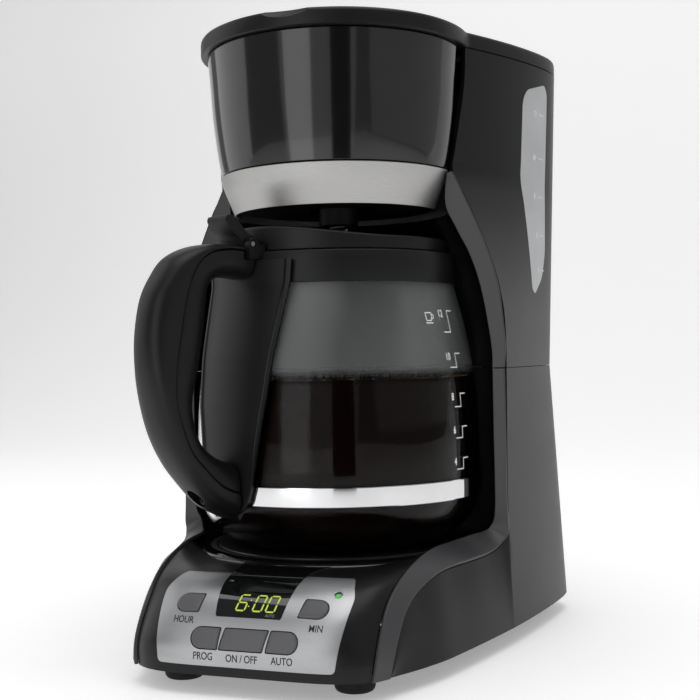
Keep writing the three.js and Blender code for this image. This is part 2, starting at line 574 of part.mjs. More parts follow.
// ---------------------------------------------------------------- control panel
const panelSheet = frontSolid(0, FOOT_HEIGHT).subtract(frontSolid(PANEL_SHEET, FOOT_HEIGHT))
  .intersect(seenFromFront(PANEL_OUTLINE.map(([x, z]) => [x * 0.992, z + (z < 20 ? GAP : -GAP)]), [-135, -92]))
  .subtract(buttonHoles).subtract(displayCut).subtract(lampHole);
add('control_panel', 'root', panelSheet, silverPanel);
const displayWindow = frontSolid(0, FOOT_HEIGHT).subtract(frontSolid(PANEL_SHEET, FOOT_HEIGHT))
  .intersect(seenFromFront(displayOutline(-GAP), [-135, -92]));
add('display_window', 'root', displayWindow, smokedWindow);

const BOARD_PLACE = { x: 0, y: -116, z: 34, tilt: THREE.MathUtils.degToRad(58) };
const board = onPanel(new THREE.Shape([
  new THREE.Vector2(-45, -17), new THREE.Vector2(45, -17), new THREE.Vector2(45, 15), new THREE.Vector2(-45, 15),
]), BOARD_PLACE, [-14, -12.4]);
add('control_board', 'root', board.intersect(frontSolid(5, FOOT_HEIGHT + 2)), boardGreen);
const display = onPanel(new THREE.Shape([
  new THREE.Vector2(-17, 1), new THREE.Vector2(17, 1), new THREE.Vector2(17, 15), new THREE.Vector2(-17, 15),
]), BOARD_PLACE, [-12, -8]);
add('display_module', 'root', display.intersect(frontSolid(4, FOOT_HEIGHT)), smokedWindow);
const lamp = rod(1.6, 12, LAMP_TOP, INTO_PANEL).intersect(frontSolid(0, FOOT_HEIGHT)).subtract(frontSolid(4, FOOT_HEIGHT));
add('lamp_lens', 'root', lamp, lampGreen);
for (const button of BUTTONS) {
  const cap = onPanel(buttonOutline(button, 0), button, [-4.2, 0.4]);
  const flange = onPanel(buttonOutline(button, 0, 1), button, [-5.4, -4.2]);
  add(button.name, 'buttons', cap.add(flange), buttonGrey);
}

// ---------------------------------------------------------------- lid
const lidOutline = (inset) => union(
  raised(columnTopLoop(inset), [COLUMN_TOP_Z + GAP, LID_TOP_Z]),
  post(73.7 - inset, [COLUMN_TOP_Z + GAP, LID_TOP_Z], { y: BREW_Y, segments: ROUND }),
);
const lidHollow = lidOutline(2.5).intersect(block([-110, 110], [-90, 116], [300, LID_TOP_Z - 2.5]));
const behindHinge = block([-110, 110], [HINGE.y, 140], [300, 330]);
const knuckle = rod(HINGE.barrel, 210, new THREE.Vector3(-105, HINGE.y, HINGE.z), new THREE.Vector3(1, 0, 0), 24);
const lugRoom = HINGE_LUGS.map(([x0, x1]) => block([x0 - 0.5, x1 + 0.5], [HINGE.y - 6, 140], [300, 330]));
const fingerNotch = solid(new THREE.SphereGeometry(30, 24, 12).scale(1, 0.5, 0.5).translate(0, -76, 331));
const lidBody = lidOutline(0).subtract(lidHollow);
const lid = union(lidBody.subtract(behindHinge), lidBody.intersect(behindHinge).intersect(knuckle))
  .subtract(union(...lugRoom)).subtract(hingeBore).subtract(fingerNotch);
add('lid', 'lid', lid, satinBlack);

// Shower plate and its water channel, carried under the lid.
const ductAngle = Math.atan2(RISER.y - BREW_Y, RISER.x);
const ductLength = Math.hypot(RISER.x, RISER.y - BREW_Y);
const duct = (width, [z0, z1], reach) => solid(
  new THREE.BoxGeometry(reach, width, z1 - z0)
    .translate(reach / 2, 0, (z0 + z1) / 2)
    .rotateZ(ductAngle).translate(0, BREW_Y, 0),
);
let shower = union(duct(14, [312.4, 319.6], ductLength + 8), post(32, [306.5, 309.5], { y: BREW_Y, segments: ROUND }))
  .add(post(9, [309, 319.6], { y: BREW_Y }))
  .subtract(duct(10, [311, 317.6], ductLength + 6));
for (let i = 0; i < 8; i += 1) {
  const angle = (i / 8) * Math.PI * 2;
  const place = { x: 22 * Math.cos(angle), y: BREW_Y + 22 * Math.sin(angle), segments: 8 };
  shower = shower.subtract(post(2, [300, 312], place));
}
add('shower_plate', 'lid', shower, innerBlack);

// ---------------------------------------------------------------- brew basket and drip valve
const basket = turned([
  [8.4, 222], [10.6, 222], [10.6, 233], [44, 234], [54, 250], [61, 296], [62, 302.4], [64.6, 302.6], [64.6, 305],
  [62, 305], [59.2, 296], [52, 250.6], [43, 236], [8.4, 236],
], { y: BREW_Y, segments: ROUND_INSIDE });
const nozzleWeb = post(9, [226, 228], { y: BREW_Y }).subtract(post(3.6, [220, 230], { y: BREW_Y }));
add('brew_basket', 'basket', basket.add(nozzleWeb), innerBlack);
const plunger = turned([
  [0, 215.8], [4, 215.8], [6.4, 217.4], [6.4, 219], [2.6, 219], [2.6, 236.6], [10, 237], [10, 238.6], [0, 240],
], { y: BREW_Y, segments: 24 });
add('valve_plunger', 'valve', plunger, innerBlack);
const springTurns = 3;
const springPoints = [];
for (let i = 0; i <= springTurns * 10; i += 1) {
  const angle = (i / 10) * Math.PI * 2;
  springPoints.push([4.6 * Math.cos(angle), BREW_Y + 4.6 * Math.sin(angle), 220.1 + 5 * i / (springTurns * 10)]);
}
add('valve_spring', 'basket', hose(springPoints, 0.5, 0, 36, 3), platedSteel);

// ---------------------------------------------------------------- jug
const glassOuter = GLASS_PROFILE;
const glassInner = offsetProfile(GLASS_PROFILE, -GLASS_WALL).reverse();
glassInner[0][1] = GLASS_PROFILE.at(-1)[1];
add('carafe_glass', 'carafe', turned([...glassOuter, ...glassInner], { segments: ROUND }), jugGlass);

const collarRing = turned([
  [64.4, COLLAR_Z[0]], [65.6, COLLAR_Z[0]], [65.6, 199], [64.6, COLLAR_Z[1]], [62.1, COLLAR_Z[1]],
  [62.1, 198], [63, 194], [64.4, 190.5],
], { segments: ROUND });
const LID_PIN = { y: -69.6, z: 207.6 };
const pinLugs = [[-13, -9], [9, 13]].map((span) => union(
  block(span, [LID_PIN.y - 3, -62.4], [COLLAR_Z[1] - 4, LID_PIN.z]),
  rod(3, 4, new THREE.Vector3(span[0], LID_PIN.y, LID_PIN.z), new THREE.Vector3(1, 0, 0), 16),
));
const pinBore = rod(1.7, 40, new THREE.Vector3(-20, LID_PIN.y, LID_PIN.z), new THREE.Vector3(1, 0, 0), 12);
const neckRoom = post(62.1, [180, 220], { segments: ROUND });
const collar = union(collarRing, ...pinLugs).subtract(pinBore).subtract(neckRoom);
add('carafe_collar', 'carafe', collar, satinBlack);
const lidPin = rod(1.35, 25, new THREE.Vector3(-12.5, LID_PIN.y, LID_PIN.z), new THREE.Vector3(1, 0, 0), 12);
add('carafe_lid_pin', 'carafe', lidPin, platedSteel);
const bandRing = turned([
  [76.4, BAND_Z[0]], [77.4, BAND_Z[0]], [77.4, BAND_Z[1]], [76.4, BAND_Z[1]],
], { segments: ROUND });
add('carafe_band', 'carafe', bandRing, chrome);

// The handle stands on a shield that lies against the glass, held by the band below and the collar above.
const SHIELD_OUTSIDE = [[80.5, 75], [80.5, 96], [79.6, 126], [76.4, 152], [70.6, 180], [69, 188], [69, 199.6]];
const shieldInside = [[77.8, 75], [77.8, 96], [76.9, 126], [73.7, 152], [67.9, 180], [66.2, 188], [66.2, 199.6]];
const shieldFace = seenFromFront([[-14, 75], [14, 75], [25, 130], [28, 165], [31, 203], [-31, 203], [-28, 165], [-25, 130]], [-90, -40]);
const shield = turned([...SHIELD_OUTSIDE, ...[...shieldInside].reverse()], { segments: ROUND }).intersect(shieldFace);
add('handle_shield', 'carafe', shield, satinBlack);
const shieldRoom = turned([[0, 60], [80.8, 60], ...SHIELD_OUTSIDE.map(([r, z]) => [r + GAP, z]), [69.3, 214], [0, 214]], { segments: ROUND });

function smooth(points, divisions) {
  const curve = new THREE.SplineCurve(points.map(([r, z]) => new THREE.Vector2(r, z)));
  return curve.getPoints(divisions).map((point) => [point.x, point.y]);
}
const handleBack = smooth([
  [62, 205], [82, 206.5], [97, 205], [111, 199], [121, 188], [128, 170], [129.6, 152], [127, 134], [121, 114],
  [112, 98], [98, 81.5], [84, 71.8], [66, 70.6],
], 30);
const handleParting = smooth([
  [62, 200], [84, 201.5], [99, 197.5], [109, 187], [114, 172], [117, 152], [117.5, 136], [114.5, 120],
  [108, 106], [96, 93], [82, 84.5], [66, 82],
], 26);
const handleGrip = smooth([
  [62, 190], [80, 191.5], [90, 189], [94.6, 180], [97, 160], [101, 142], [103.6, 131], [103, 121], [99, 111],
  [90, 103.5], [80, 100], [66, 98],
], 24);
const handleSlice = (outerCurve, innerCurve, halfWidth) => {
  const outline = [...outerCurve, ...[...innerCurve].reverse()].map(([r, z]) => [-r, z]);
  return seenFromSide(outline, [-halfWidth, halfWidth]);
};
const handleGap = (curve) => curve.map(([r, z]) => [r - 0.32, z + (z > 150 ? -0.2 : 0.25)]);
const SCREW_PLACE = new THREE.Vector3(0, -79, 83);
const outward = new THREE.Vector3(0, -1, 0);
const screwHole = union(
  rod(2.3, 40, SCREW_PLACE, outward, 12),
  rod(4.4, 40, new THREE.Vector3(0, -92, 83), outward, 16),
);
const leverRoom = block([-14, 14], [-75, -55], [199.6, 215]);
const handleRoom = union(shieldRoom, screwHole, leverRoom);
const shell = handleSlice(handleBack, handleParting, 12).subtract(handleRoom);
const insert = handleSlice(handleGap(handleParting), handleGrip, 11).subtract(handleRoom);
add('handle_shell', 'carafe', shell, satinBlack);
add('handle_insert', 'carafe', insert, satinBlack);
const bandScrew = union(
  rod(2, 11, new THREE.Vector3(0, -81.2, 83), outward, 12),
  rod(3.8, 2.6, new THREE.Vector3(0, -92.2, 83), outward, 16),
);
add('band_screw', 'carafe', bandScrew, platedSteel);

// The jug's lid: a dished disc with a rim, a drip hole and a thumb lever over the handle.
const jugLid = turned([
  [5, 206], [40, 207.5], [56, 207.5], [57, 210.5], [60.6, 211.5], [61.6, 210.5], [61.6, 204.6],
  [58, 204.4], [54, 203], [5, 203.6],
], { segments: ROUND });
const lever = seenFromSide([
  [-54, 205], [-61, 209.8], [-66, 211.2], [-70, 212.6], [-80, 220.5], [-82.4, 220.6], [-83, 218.8], [-74, 210.8],
  [-72.6, 206], [-68, 204.7], [-61.4, 204.7],
], [-8.5, 8.5]);
const jugLidSolid = union(jugLid, lever).subtract(pinBore);
add('carafe_lid', 'carafe_lid', jugLidSolid, satinBlack);

const turn = THREE.MathUtils.degToRad(HANDLE_TURN);
bodies.carafe.rotation.z = turn;
bodies.carafe_lid.rotation.z = turn;

export default machine;
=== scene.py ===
import math
import bmesh
import bpy
from mathutils import Matrix, Vector


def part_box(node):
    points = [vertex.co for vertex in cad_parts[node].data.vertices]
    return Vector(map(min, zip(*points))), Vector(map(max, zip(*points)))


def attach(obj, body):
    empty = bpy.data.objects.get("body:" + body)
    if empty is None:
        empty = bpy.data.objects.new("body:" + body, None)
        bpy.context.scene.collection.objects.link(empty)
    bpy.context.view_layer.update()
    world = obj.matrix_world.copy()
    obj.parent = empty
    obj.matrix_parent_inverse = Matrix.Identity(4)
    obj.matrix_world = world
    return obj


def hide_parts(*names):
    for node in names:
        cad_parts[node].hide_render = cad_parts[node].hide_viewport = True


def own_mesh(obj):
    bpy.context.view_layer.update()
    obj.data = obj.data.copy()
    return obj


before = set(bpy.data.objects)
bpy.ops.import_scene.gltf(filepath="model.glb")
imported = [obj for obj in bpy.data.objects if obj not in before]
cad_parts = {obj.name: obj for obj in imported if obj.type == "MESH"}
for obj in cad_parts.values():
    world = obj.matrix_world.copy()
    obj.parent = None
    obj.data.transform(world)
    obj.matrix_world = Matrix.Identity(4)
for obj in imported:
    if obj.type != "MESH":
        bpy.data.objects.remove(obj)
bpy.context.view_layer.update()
MM = 0.001  # shapes are drawn in millimetres and kept in metres


# ---------------------------------------------------------------- bottom cover and its screws
# A flat black polypropylene cover with cooling slots closes the base from below.
# Four zinc-plated screws hold it, sunk in their holes. Both are moulded or bought plain parts.
class Wire:
    """One output of a node. Arithmetic on it adds Math nodes to the same material."""

    def __init__(self, finish, socket):
        self.finish = finish
        self.socket = socket

    def maths(self, operation, first, second):
        return self.finish.node("ShaderNodeMath", {"operation": operation}, {0: first, 1: second})

    def __add__(self, other):
        return self.maths("ADD", self, other)

    __radd__ = __add__

    def __sub__(self, other):
        return self.maths("SUBTRACT", self, other)

    def __rsub__(self, other):
        return self.maths("SUBTRACT", other, self)

    def __mul__(self, other):
        return self.maths("MULTIPLY", self, other)

    __rmul__ = __mul__


class Finish:
    """A Principled material, built up from expressions."""

    def __init__(self, name, **constants):
        self.material = bpy.data.materials.new(name)
        self.material.use_nodes = True
        self.tree = self.material.node_tree
        self.surface = self.tree.nodes["Principled BSDF"]
        for socket, value in constants.items():
            self.surface.inputs[socket.replace("_", " ")].default_value = value
        self.place = self.node("ShaderNodeTexCoord", {}, {}, "Object")

    def feed(self, entry, value):
        if isinstance(value, Wire):
            self.tree.links.new(value.socket, entry)
        else:
            entry.default_value = value

    def node(self, kind, settings, sockets, output=0):
        made = self.tree.nodes.new(kind)
        for setting, value in settings.items():
            setattr(made, setting, value)
        for socket, value in sockets.items():
            self.feed(made.inputs[socket], value)
        return Wire(self, made.outputs[output])

    def set(self, **wires):
        for socket, wire in wires.items():
            self.feed(self.surface.inputs[socket.replace("_", " ")], wire)
        return self


def noise(finish, size, detail=2.0, rough=0.5, place=None):
    """Noise whose lumps are about size millimetres across, from 0 to 1."""
    shape = {"Scale": 1 / (size * MM), "Detail": detail, "Roughness": rough}
    return finish.node("ShaderNodeTexNoise", {}, {"Vector": place or finish.place, **shape}, "Fac")


def mixed(finish, share, first, second):
    """A colour between two shades, as far along as share says."""
    return finish.node("ShaderNodeMix", {"data_type": "RGBA"}, {0: share, 6: (*first, 1), 7: (*second, 1)}, 2)


def scaled(shade, factor, more=0.0):
    """A lighter or darker shade of a colour."""
    return tuple(value * factor + more for value in shade)


def bump(finish, height, depth):
    """A normal roughened by a height from 0 to 1 that is worth depth millimetres."""
    return finish.node("ShaderNodeBump", {}, {"Height": height, "Distance": depth * MM}, "Normal")


def clouded(name, lumps, first, second, dull, relief=None, **constants):
    """A finish that drifts in lumps between two shades, and in roughness, over a fine relief.

    lumps holds a noise's settings, dull the least roughness and its drift, relief a depth and a noise's own.
    """
    finish = Finish(name, **constants)
    finish.cloud = noise(finish, *lumps)
    least, drift = dull
    finish.set(Base_Color=mixed(finish, finish.cloud, first, second), Roughness=finish.cloud * drift + least)
    if relief:
        finish.set(Normal=bump(finish, noise(finish, *relief[1:]), relief[0]))
    return finish


def moulded(name, shade, roughness, grain=0.45, depth=0.012, tint=1.25):
    """Moulded plastic: spark-eroded grain, cloudy gloss and a faint change of shade over the part."""
    finish = Finish(name, Specular_IOR_Level=0.26)
    cloud = noise(finish, 38, 3)
    fine = noise(finish, grain, 3, 0.6)
    finish.set(
        Base_Color=mixed(finish, cloud, shade, scaled(shade, tint)),
        Roughness=cloud * 0.08 + fine * 0.06 + (roughness - 0.07),
        Normal=bump(finish, fine, depth),
    )
    return finish.material


def plated(name, shade, roughness):
    """Plated steel: a little mottled, with fine drawing marks."""
    darker = scaled(shade, 0.72)
    return clouded(name, (2.5, 4), shade, darker, (roughness, 0.2), (0.01, 0.5, 2), Metallic=1.0).material


def keep(node, material):
    """A CAD node whose shape is right stays, with a better finish."""
    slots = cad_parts[node].data.materials
    slots.clear()
    slots.append(material)


inner_plastic = moulded("inner_plastic", (0.009, 0.009, 0.0095), 0.5, 0.6)
screw_steel = plated("screw_steel", (0.5, 0.5, 0.52), 0.28)
keep("base_plate", inner_plastic)
for number in (1, 2, 3, 4):
    keep(f"base_screw_{number}", screw_steel)


# ---------------------------------------------------------------- feet
# Four rubber feet pushed through the bottom cover, each a tapered disc with a rounded tread edge.
# Moulded from a soft black rubber that stays dull and picks up a little dust.
def corners(node):
    """The lowest and highest corner of a CAD node, in millimetres."""
    low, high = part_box(node)
    return low / MM, high / MM


def turned(profile, centre=(0.0, 0.0), start=0.0, sweep=360.0, steps=96):
    """Spins a line of (radius, height) points about an upright axis."""
    bm = bmesh.new()
    turn = Matrix.Rotation(math.radians(start), 3, "Z")
    middle = Vector((*centre, 0))
    verts = [bm.verts.new(turn @ Vector((radius, 0, height)) + middle) for radius, height in profile]
    edges = [bm.edges.new(pair) for pair in zip(verts, verts[1:])]
    if profile[0] == profile[-1]:
        bmesh.ops.weld_verts(bm, targetmap={verts[-1]: verts[0]})
        verts.pop()
        edges = list({edge for vert in verts for edge in vert.link_edges})
    bmesh.ops.spin(
        bm, geom=verts + edges, cent=middle, axis=(0, 0, 1), dvec=(0, 0, 0),
        angle=math.radians(sweep), steps=steps, use_merge=sweep == 360.0,
    )
    return bm


def corner_curve(before, corner, after, radius, steps):
    """The points that ease one corner of a line by about a radius."""
    corner = Vector(corner)
    back, ahead = Vector(before) - corner, Vector(after) - corner
    ease = min(radius, 0.45 * back.length, 0.45 * ahead.length)
    first, last = corner + back.normalized() * ease, corner + ahead.normalized() * ease
    shares = [step / steps for step in range(steps + 1)]
    return [first * (1 - t) ** 2 + corner * 2 * t * (1 - t) + last * t ** 2 for t in shares]


def rounded(points, radius):
    """An open line of (radius, height) points with its inner corners eased."""
    line = [Vector(points[0])]
    for before, corner, after in zip(points, points[1:], points[2:]):
        line += corner_curve(before, corner, after, radius, 3)
    return line + [Vector(points[-1])]


def linked(name, data):
    """An object in the scene that holds some data."""
    thing = bpy.data.objects.new(name, data)
    bpy.context.scene.collection.objects.link(thing)
    return thing


def walled(piece, thickness):
    """Gives a skin its wall, inwards."""
    wall = piece.modifiers.new("wall", "SOLIDIFY")
    wall.thickness = thickness
    wall.offset = -1
    wall.use_even_offset = True


def about(bm, degrees, axis):
    """Turns a shape about one of the frame's axes."""
    turn = Matrix.Rotation(math.radians(degrees), 3, axis)
    bmesh.ops.rotate(bm, verts=bm.verts, cent=(0, 0, 0), matrix=turn)
    return bm


def put(name, bm, material, body, slot, *stands_for, wall=0.0, edge=0.0, smooth=32, turn=0.0, steps=3):
    """Makes a finished piece from a bmesh drawn in millimetres, and gives it to its body."""
    bmesh.ops.remove_doubles(bm, verts=bm.verts, dist=0.002)
    bmesh.ops.recalc_face_normals(bm, faces=bm.faces)
    if turn:
        about(bm, turn, "Z")
    bmesh.ops.scale(bm, verts=bm.verts, vec=(MM, MM, MM))
    mesh = bpy.data.meshes.new(name)
    bm.to_mesh(mesh)
    bm.free()
    mesh.shade_smooth()
    mesh.set_sharp_from_angle(angle=math.radians(smooth))
    mesh.materials.append(material)
    piece = linked(name, mesh)
    if wall:
        walled(piece, wall * MM)
    if edge:
        ease = piece.modifiers.new("edges", "BEVEL")
        ease.width = edge * MM
        ease.segments = steps
        ease.limit_method = "ANGLE"
        ease.angle_limit = math.radians(38)
        ease.harden_normals = True
        ease.use_clamp_overlap = True
    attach(piece, body)
    if stands_for:
        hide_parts(*stands_for)
    return piece


RUBBER = (0.007, 0.007, 0.007)
black_rubber = clouded(
    "black_rubber", (6, 5, 0.65), RUBBER, scaled(RUBBER, 2.2, 0.003), (0.62, 0.18), (0.02, 0.7, 3),
    Specular_IOR_Level=0.35,
).material
for number in (1, 2, 3, 4):
    low, high = corners(f"foot_{number}")
    centre = ((low.x + high.x) / 2, (low.y + high.y) / 2)
    radius = (high.x - low.x) / 2
    tread = [(0, 0.4), (radius - 4.5, 0.4), (radius - 3.6, 0), (radius - 1.2, 0), (radius - 0.1, 1.6)]
    shoulder = [(radius, high.z - 1.2), (radius - 0.8, high.z), (0, high.z)]
    foot = turned(rounded(tread + shoulder, 0.8), centre, steps=48)
    put(f"rubber_foot_{number}", foot, black_rubber, "root", "rubber_black", f"foot_{number}")


# ---------------------------------------------------------------- base housing
# The side walls and rear of the base, one moulding in satin black polypropylene, 2.6 mm thick.
# It widens towards the counter, and its front edges follow the grey border strip up to the seam.
WALL = 2.6
REAR_FULL = 90.0  # where the body is widest, behind the jug's axis
FLOOR_EDGE = 9.0
SIDE_BULGE = 1.2
SEAM = corners("base_housing")[1].z
SEAM_ABOVE = corners("column_housing")[0].z
COLUMN_TOP = corners("column_housing")[1].z
WIDEST = [(FLOOR_EDGE, 106.2), (SEAM, 98.7), (COLUMN_TOP, 104.4)]
DEPTH = [(FLOOR_EDGE, 129.0), (SEAM, 123.5), (COLUMN_TOP, 127.4)]
WING_FRONT = [(FLOOR_EDGE, 0.0), (234, 0.0), (COLUMN_TOP, 8.0)]
WING = [
    (FLOOR_EDGE, 95.4), (75, 93), (158, 93.5), (184, 91), (202, 86), (218, 80),
    (234, 73), (248, 66.3), (260, 67.6), (292, 72), (COLUMN_TOP, 72.6),
]
# Rows run from the lower front edge to the bay: side wall's foot, strip's outer edge, its inner edge, middle.
FRONT_ROWS = [
    ((61.8, -112.0, 9.0), (62.6, -112.0, 9.2), (57.0, -120.0, 9.2), (0, -128.9, 9.2)),
    ((63.5, -108.5, 9.0), (63.4, -109.0, 17.0), (58.0, -119.0, 17.0), (0, -128.7, 17.0)),
    ((65.5, -104.5, 9.0), (64.0, -104.0, 25.0), (58.4, -114.5, 26.0), (0, -127.0, 26.0)),
    ((69.0, -97.5, 9.0), (65.0, -94.5, 35.0), (58.6, -104.5, 38.0), (0, -119.5, 38.0)),
    ((73.5, -87.5, 9.0), (67.4, -81.0, 42.0), (60.0, -92.0, 46.6), (0, -108.0, 46.6)),
    ((79.0, -72.5, 9.0), (72.0, -64.0, 46.4), (61.8, -75.0, 52.0), (0, -91.0, 50.0)),
    ((84.0, -52.5, 9.0), (76.0, -48.0, 47.5), (64.6, -52.0, 55.6), (0, -64.0, 50.0)),
    ((88.5, -33.0, 9.0), (82.0, -29.0, 48.0), (69.0, -26.0, 55.7), (0, -32.0, 50.0)),
    ((92.4, -15.0, 9.0), (86.5, -14.0, 49.0), (75.5, -12.5, 57.3), (0, -14.0, 50.0)),
    ((94.4, -5.0, 9.0), (90.2, -4.5, 52.4), (80.0, -4.0, 58.0), (0, -4.0, 50.0)),
    ((95.4, 0.0, 9.0), (93.5, 0.0, 59.0), (83.0, 0.0, 60.5), (0, 0.0, 50.0)),
]


def through(points, steps):
    """A smooth line through the points, with the same number of steps in each span."""
    line = []
    last = len(points) - 1
    for i in range(last):
        a, b, c, d = (Vector(points[j]) for j in (max(i - 1, 0), i, i + 1, min(i + 2, last)))
        for step in range(steps):
            t = step / steps
            line.append(0.5 * (2 * b + (c - a) * t + (2 * a - 5 * b + 4 * c - d) * t ** 2
                               + (3 * b - a - 3 * c + d) * t ** 3))
    line.append(Vector(points[-1]))
    return line


def reading(table, height):
    """The second column of a table at a height in its first, on a straight line between rows."""
    for (z0, value0), (z1, value1) in zip(table, table[1:]):
        if height <= z1:
            return value0 + (value1 - value0) * max(height - z0, 0) / (z1 - z0)
    return table[-1][1]


def grid(bm, across, along, place):
    """A grid of quads whose points stand where place(u, v) says, with u and v from 0 to 1."""
    made = bmesh.ops.create_grid(bm, x_segments=across, y_segments=along, size=0.5)
    for vert in made["verts"]:
        vert.co = place(vert.co.x + 0.5, vert.co.y + 0.5)
    return bm


wing_line = through(WING, 8)


def body_point(turn, z):
    """A point on the body's plan at a height. turn is -1 at the left front, 0 at the rear, 1 at the right."""
    share = 1 - abs(turn)
    side = 1 if turn > 0 else -1
    widest = reading(WIDEST, z)
    wing = reading(wing_line, z)
    front = reading(WING_FRONT, z)
    if share <= 0.5:
        v = share / 0.5
        swell = 1 - (1 - v) ** 1.45
        return Vector((side * (wing + (widest - wing) * swell), front + v * (REAR_FULL - front), z))
    angle = (share - 0.5) * math.pi
    x = widest * max(math.cos(angle), 0) ** (2 / 3)
    return Vector((side * x, REAR_FULL + (reading(DEPTH, z) - REAR_FULL) * math.sin(angle) ** (2 / 3), z))


def rear_skin(bm, low, high, rows):
    """The body's outer skin from wing to wing round the rear, between two heights."""
    return grid(bm, 128, rows, lambda u, v: body_point(2 * u - 1, low + (high - low) * v))


front_lines = [through([row[part] for row in FRONT_ROWS], 6) for part in range(4)]


def along(line, share):
    """The point at a share of the way along a line."""
    place = share * (len(line) - 1)
    first = min(int(place), len(line) - 2)
    return line[first].lerp(line[first + 1], place - first)


def front_line(part, share):
    """A point on one of the four lines along the base's front: foot, outer, inner or middle."""
    return along(front_lines[part], share)


def side_wall(bm, side):
    """The base's side wall in front of the wing, from the counter edge up to the border strip."""
    def place(u, v):
        point = front_line(0, u).lerp(front_line(1, u), v)
        bulge = SIDE_BULGE * math.sin(math.pi * v) * (1 - u)
        return Vector((side * (point.x + bulge), point.y, point.z))
    return grid(bm, 60, 6, place)


STRIP_MEETS_WING = FRONT_ROWS[-1][1][2]
base_skin = bmesh.new()
side_wall(base_skin, 1)
side_wall(base_skin, -1)
rear_skin(base_skin, FLOOR_EDGE, STRIP_MEETS_WING, 6)
rear_skin(base_skin, STRIP_MEETS_WING, SEAM, 10)
bmesh.ops.remove_doubles(base_skin, verts=base_skin.verts, dist=0.3)
satin_black = moulded("satin_black", (0.0045, 0.0045, 0.0048), 0.4, 0.5, 0.01)
put(
    "base_shell", base_skin, satin_black, "root", "satin_black", "base_housing",
    wall=WALL, edge=0.5, smooth=40,
)


# ---------------------------------------------------------------- cord gland
# A black rubber grommet with a lip, pressed into the rear wall where the mains lead enters.
keep("cord_gland", black_rubber)


# ---------------------------------------------------------------- grey border strips
# Charcoal ABS trims, satin painted, that frame the bay: up the base's corners, over the deck's edge and up
# both wings to the brew cone. They are clipped on in two lengths a side, which meet at the housing's seam.
STRIP_WALL = 2.0
STRIP_INSET = 0.25
LOWER_STRIP = [(outer, inner) for _, outer, inner, _ in FRONT_ROWS] + [
    ((93.0, 0, 75), (86.0, 0, 71)), ((93.0, 0, 108), (86.0, 0, 108)), ((93.0, 0, SEAM), (86.0, 0, SEAM)),
]
UPPER_STRIP = [
    ((93.0, 0, SEAM_ABOVE), (86.0, 0, SEAM_ABOVE)), ((93.5, 0, 158), (85.6, 0, 156)),
    ((90.9, 0, 184), (81.0, 0, 184)), ((86.0, 0, 202), (75.4, 0, 202)), ((80.0, 0, 218), (68.0, 0, 217)),
    ((73.0, 0, 234), (62.4, 0, 230)), ((66.8, 0, 247.4), (63.4, 0, 246.4)),
]


def strip(rows, side):
    """A band between the outer and inner edge lines, drawn in a little at both edges."""
    outer, inner = (through([row[edge] for row in rows], 8) for edge in (0, 1))

    def place(u, v):
        a, b = along(outer, v), along(inner, v)
        width = (b - a).length
        point = a.lerp(b, (STRIP_INSET + u * (width - 2 * STRIP_INSET)) / width)
        return Vector((side * point.x, point.y, point.z))
    return grid(bmesh.new(), 6, len(outer) - 1, place)


def satin_paint(shade):
    """Satin paint over plastic: a trace of orange peel and very fine metal flake."""
    finish = Finish("border_paint", Specular_IOR_Level=0.5)
    cloud = noise(finish, 30, 2)
    flake = noise(finish, 0.12, 1)
    finish.set(
        Base_Color=mixed(finish, flake * 0.5 + cloud * 0.3, shade, scaled(shade, 1.45)),
        Roughness=cloud * 0.07 + flake * 0.05 + 0.34,
        Normal=bump(finish, noise(finish, 1.1, 2) * 0.8 + flake * 0.2, 0.006),
    )
    return finish.material


border_paint = satin_paint((0.036, 0.036, 0.039))
for side, place in ((1, "right"), (-1, "left")):
    for length, rows in (("lower", LOWER_STRIP), ("upper", UPPER_STRIP)):
        name = f"border_strip_{length}_{place}"
        stands_for = [f"bay_frame_{length}"] if side == 1 else []
        trim = strip(rows, side)
        put(name, trim, border_paint, "root", "border_grey", *stands_for, wall=STRIP_WALL, edge=0.55)


# ---------------------------------------------------------------- bay wall, ceiling and deck
# The jug's bay is a half-round wall that closes over as a bell under the brew cone, in black ABS polished to
# a high gloss, in two mouldings. The deck runs from it to the front edge, satin, and takes the control panel.
DECK = 50.0
PLATE_HOLE = 70.6
COVE = [(PLATE_HOLE, DECK), (76, 50.8), (80, 54.5), (84, 62)]
BAY_LOWER = COVE + [(85.6, 70), (86, 78), (86, 110), (86, SEAM)]
BAY_UPPER = [(86, SEAM_ABOVE), (85.6, 156), (84, 169), (80, 187), (74, 205), (67, 219), (61.6, 228)]
BAY_FROM = -80.0  # the deck drops to the plate's level behind this
CROWN = 6  # the panel is nearly flat and turns down sharply near its border


def gloss(name, shade, roughness, scuff=0.05):
    """High-gloss moulding: a trace of orange peel, with a faint haze of fine wipe marks."""
    lighter, dull = scaled(shade, 1.3), (roughness, scuff)
    finish = clouded(name, (14, 5, 0.7), shade, lighter, dull, (0.008, 5.5, 2), Specular_IOR_Level=0.5)
    return finish.set(Coat_Weight=finish.cloud * 0.2 + 0.3).material


bay_black = gloss("bay_black", (0.005, 0.005, 0.0055), 0.16, 0.1)
for name, profile in (("bay_wall_lower", BAY_LOWER), ("bay_wall_upper", BAY_UPPER)):
    put(name, turned(through(profile, 5), sweep=180, steps=72), bay_black, "root", "inner_black", smooth=50)


def deck_point(u, v):
    """The deck and slanted front: u across from strip to strip, v from the lower front edge to the bay."""
    inner, middle = front_line(2, v), front_line(3, v)
    across = 2 * u - 1
    rise = abs(across) ** CROWN
    point = middle.lerp(inner, rise)
    point.x = across * inner.x
    radius = math.hypot(point.x, point.y)
    if point.y > BAY_FROM:
        point.z = min(point.z, reading([(0, DECK)] + COVE + [(86, 78), (200, 200)], radius))
    return point


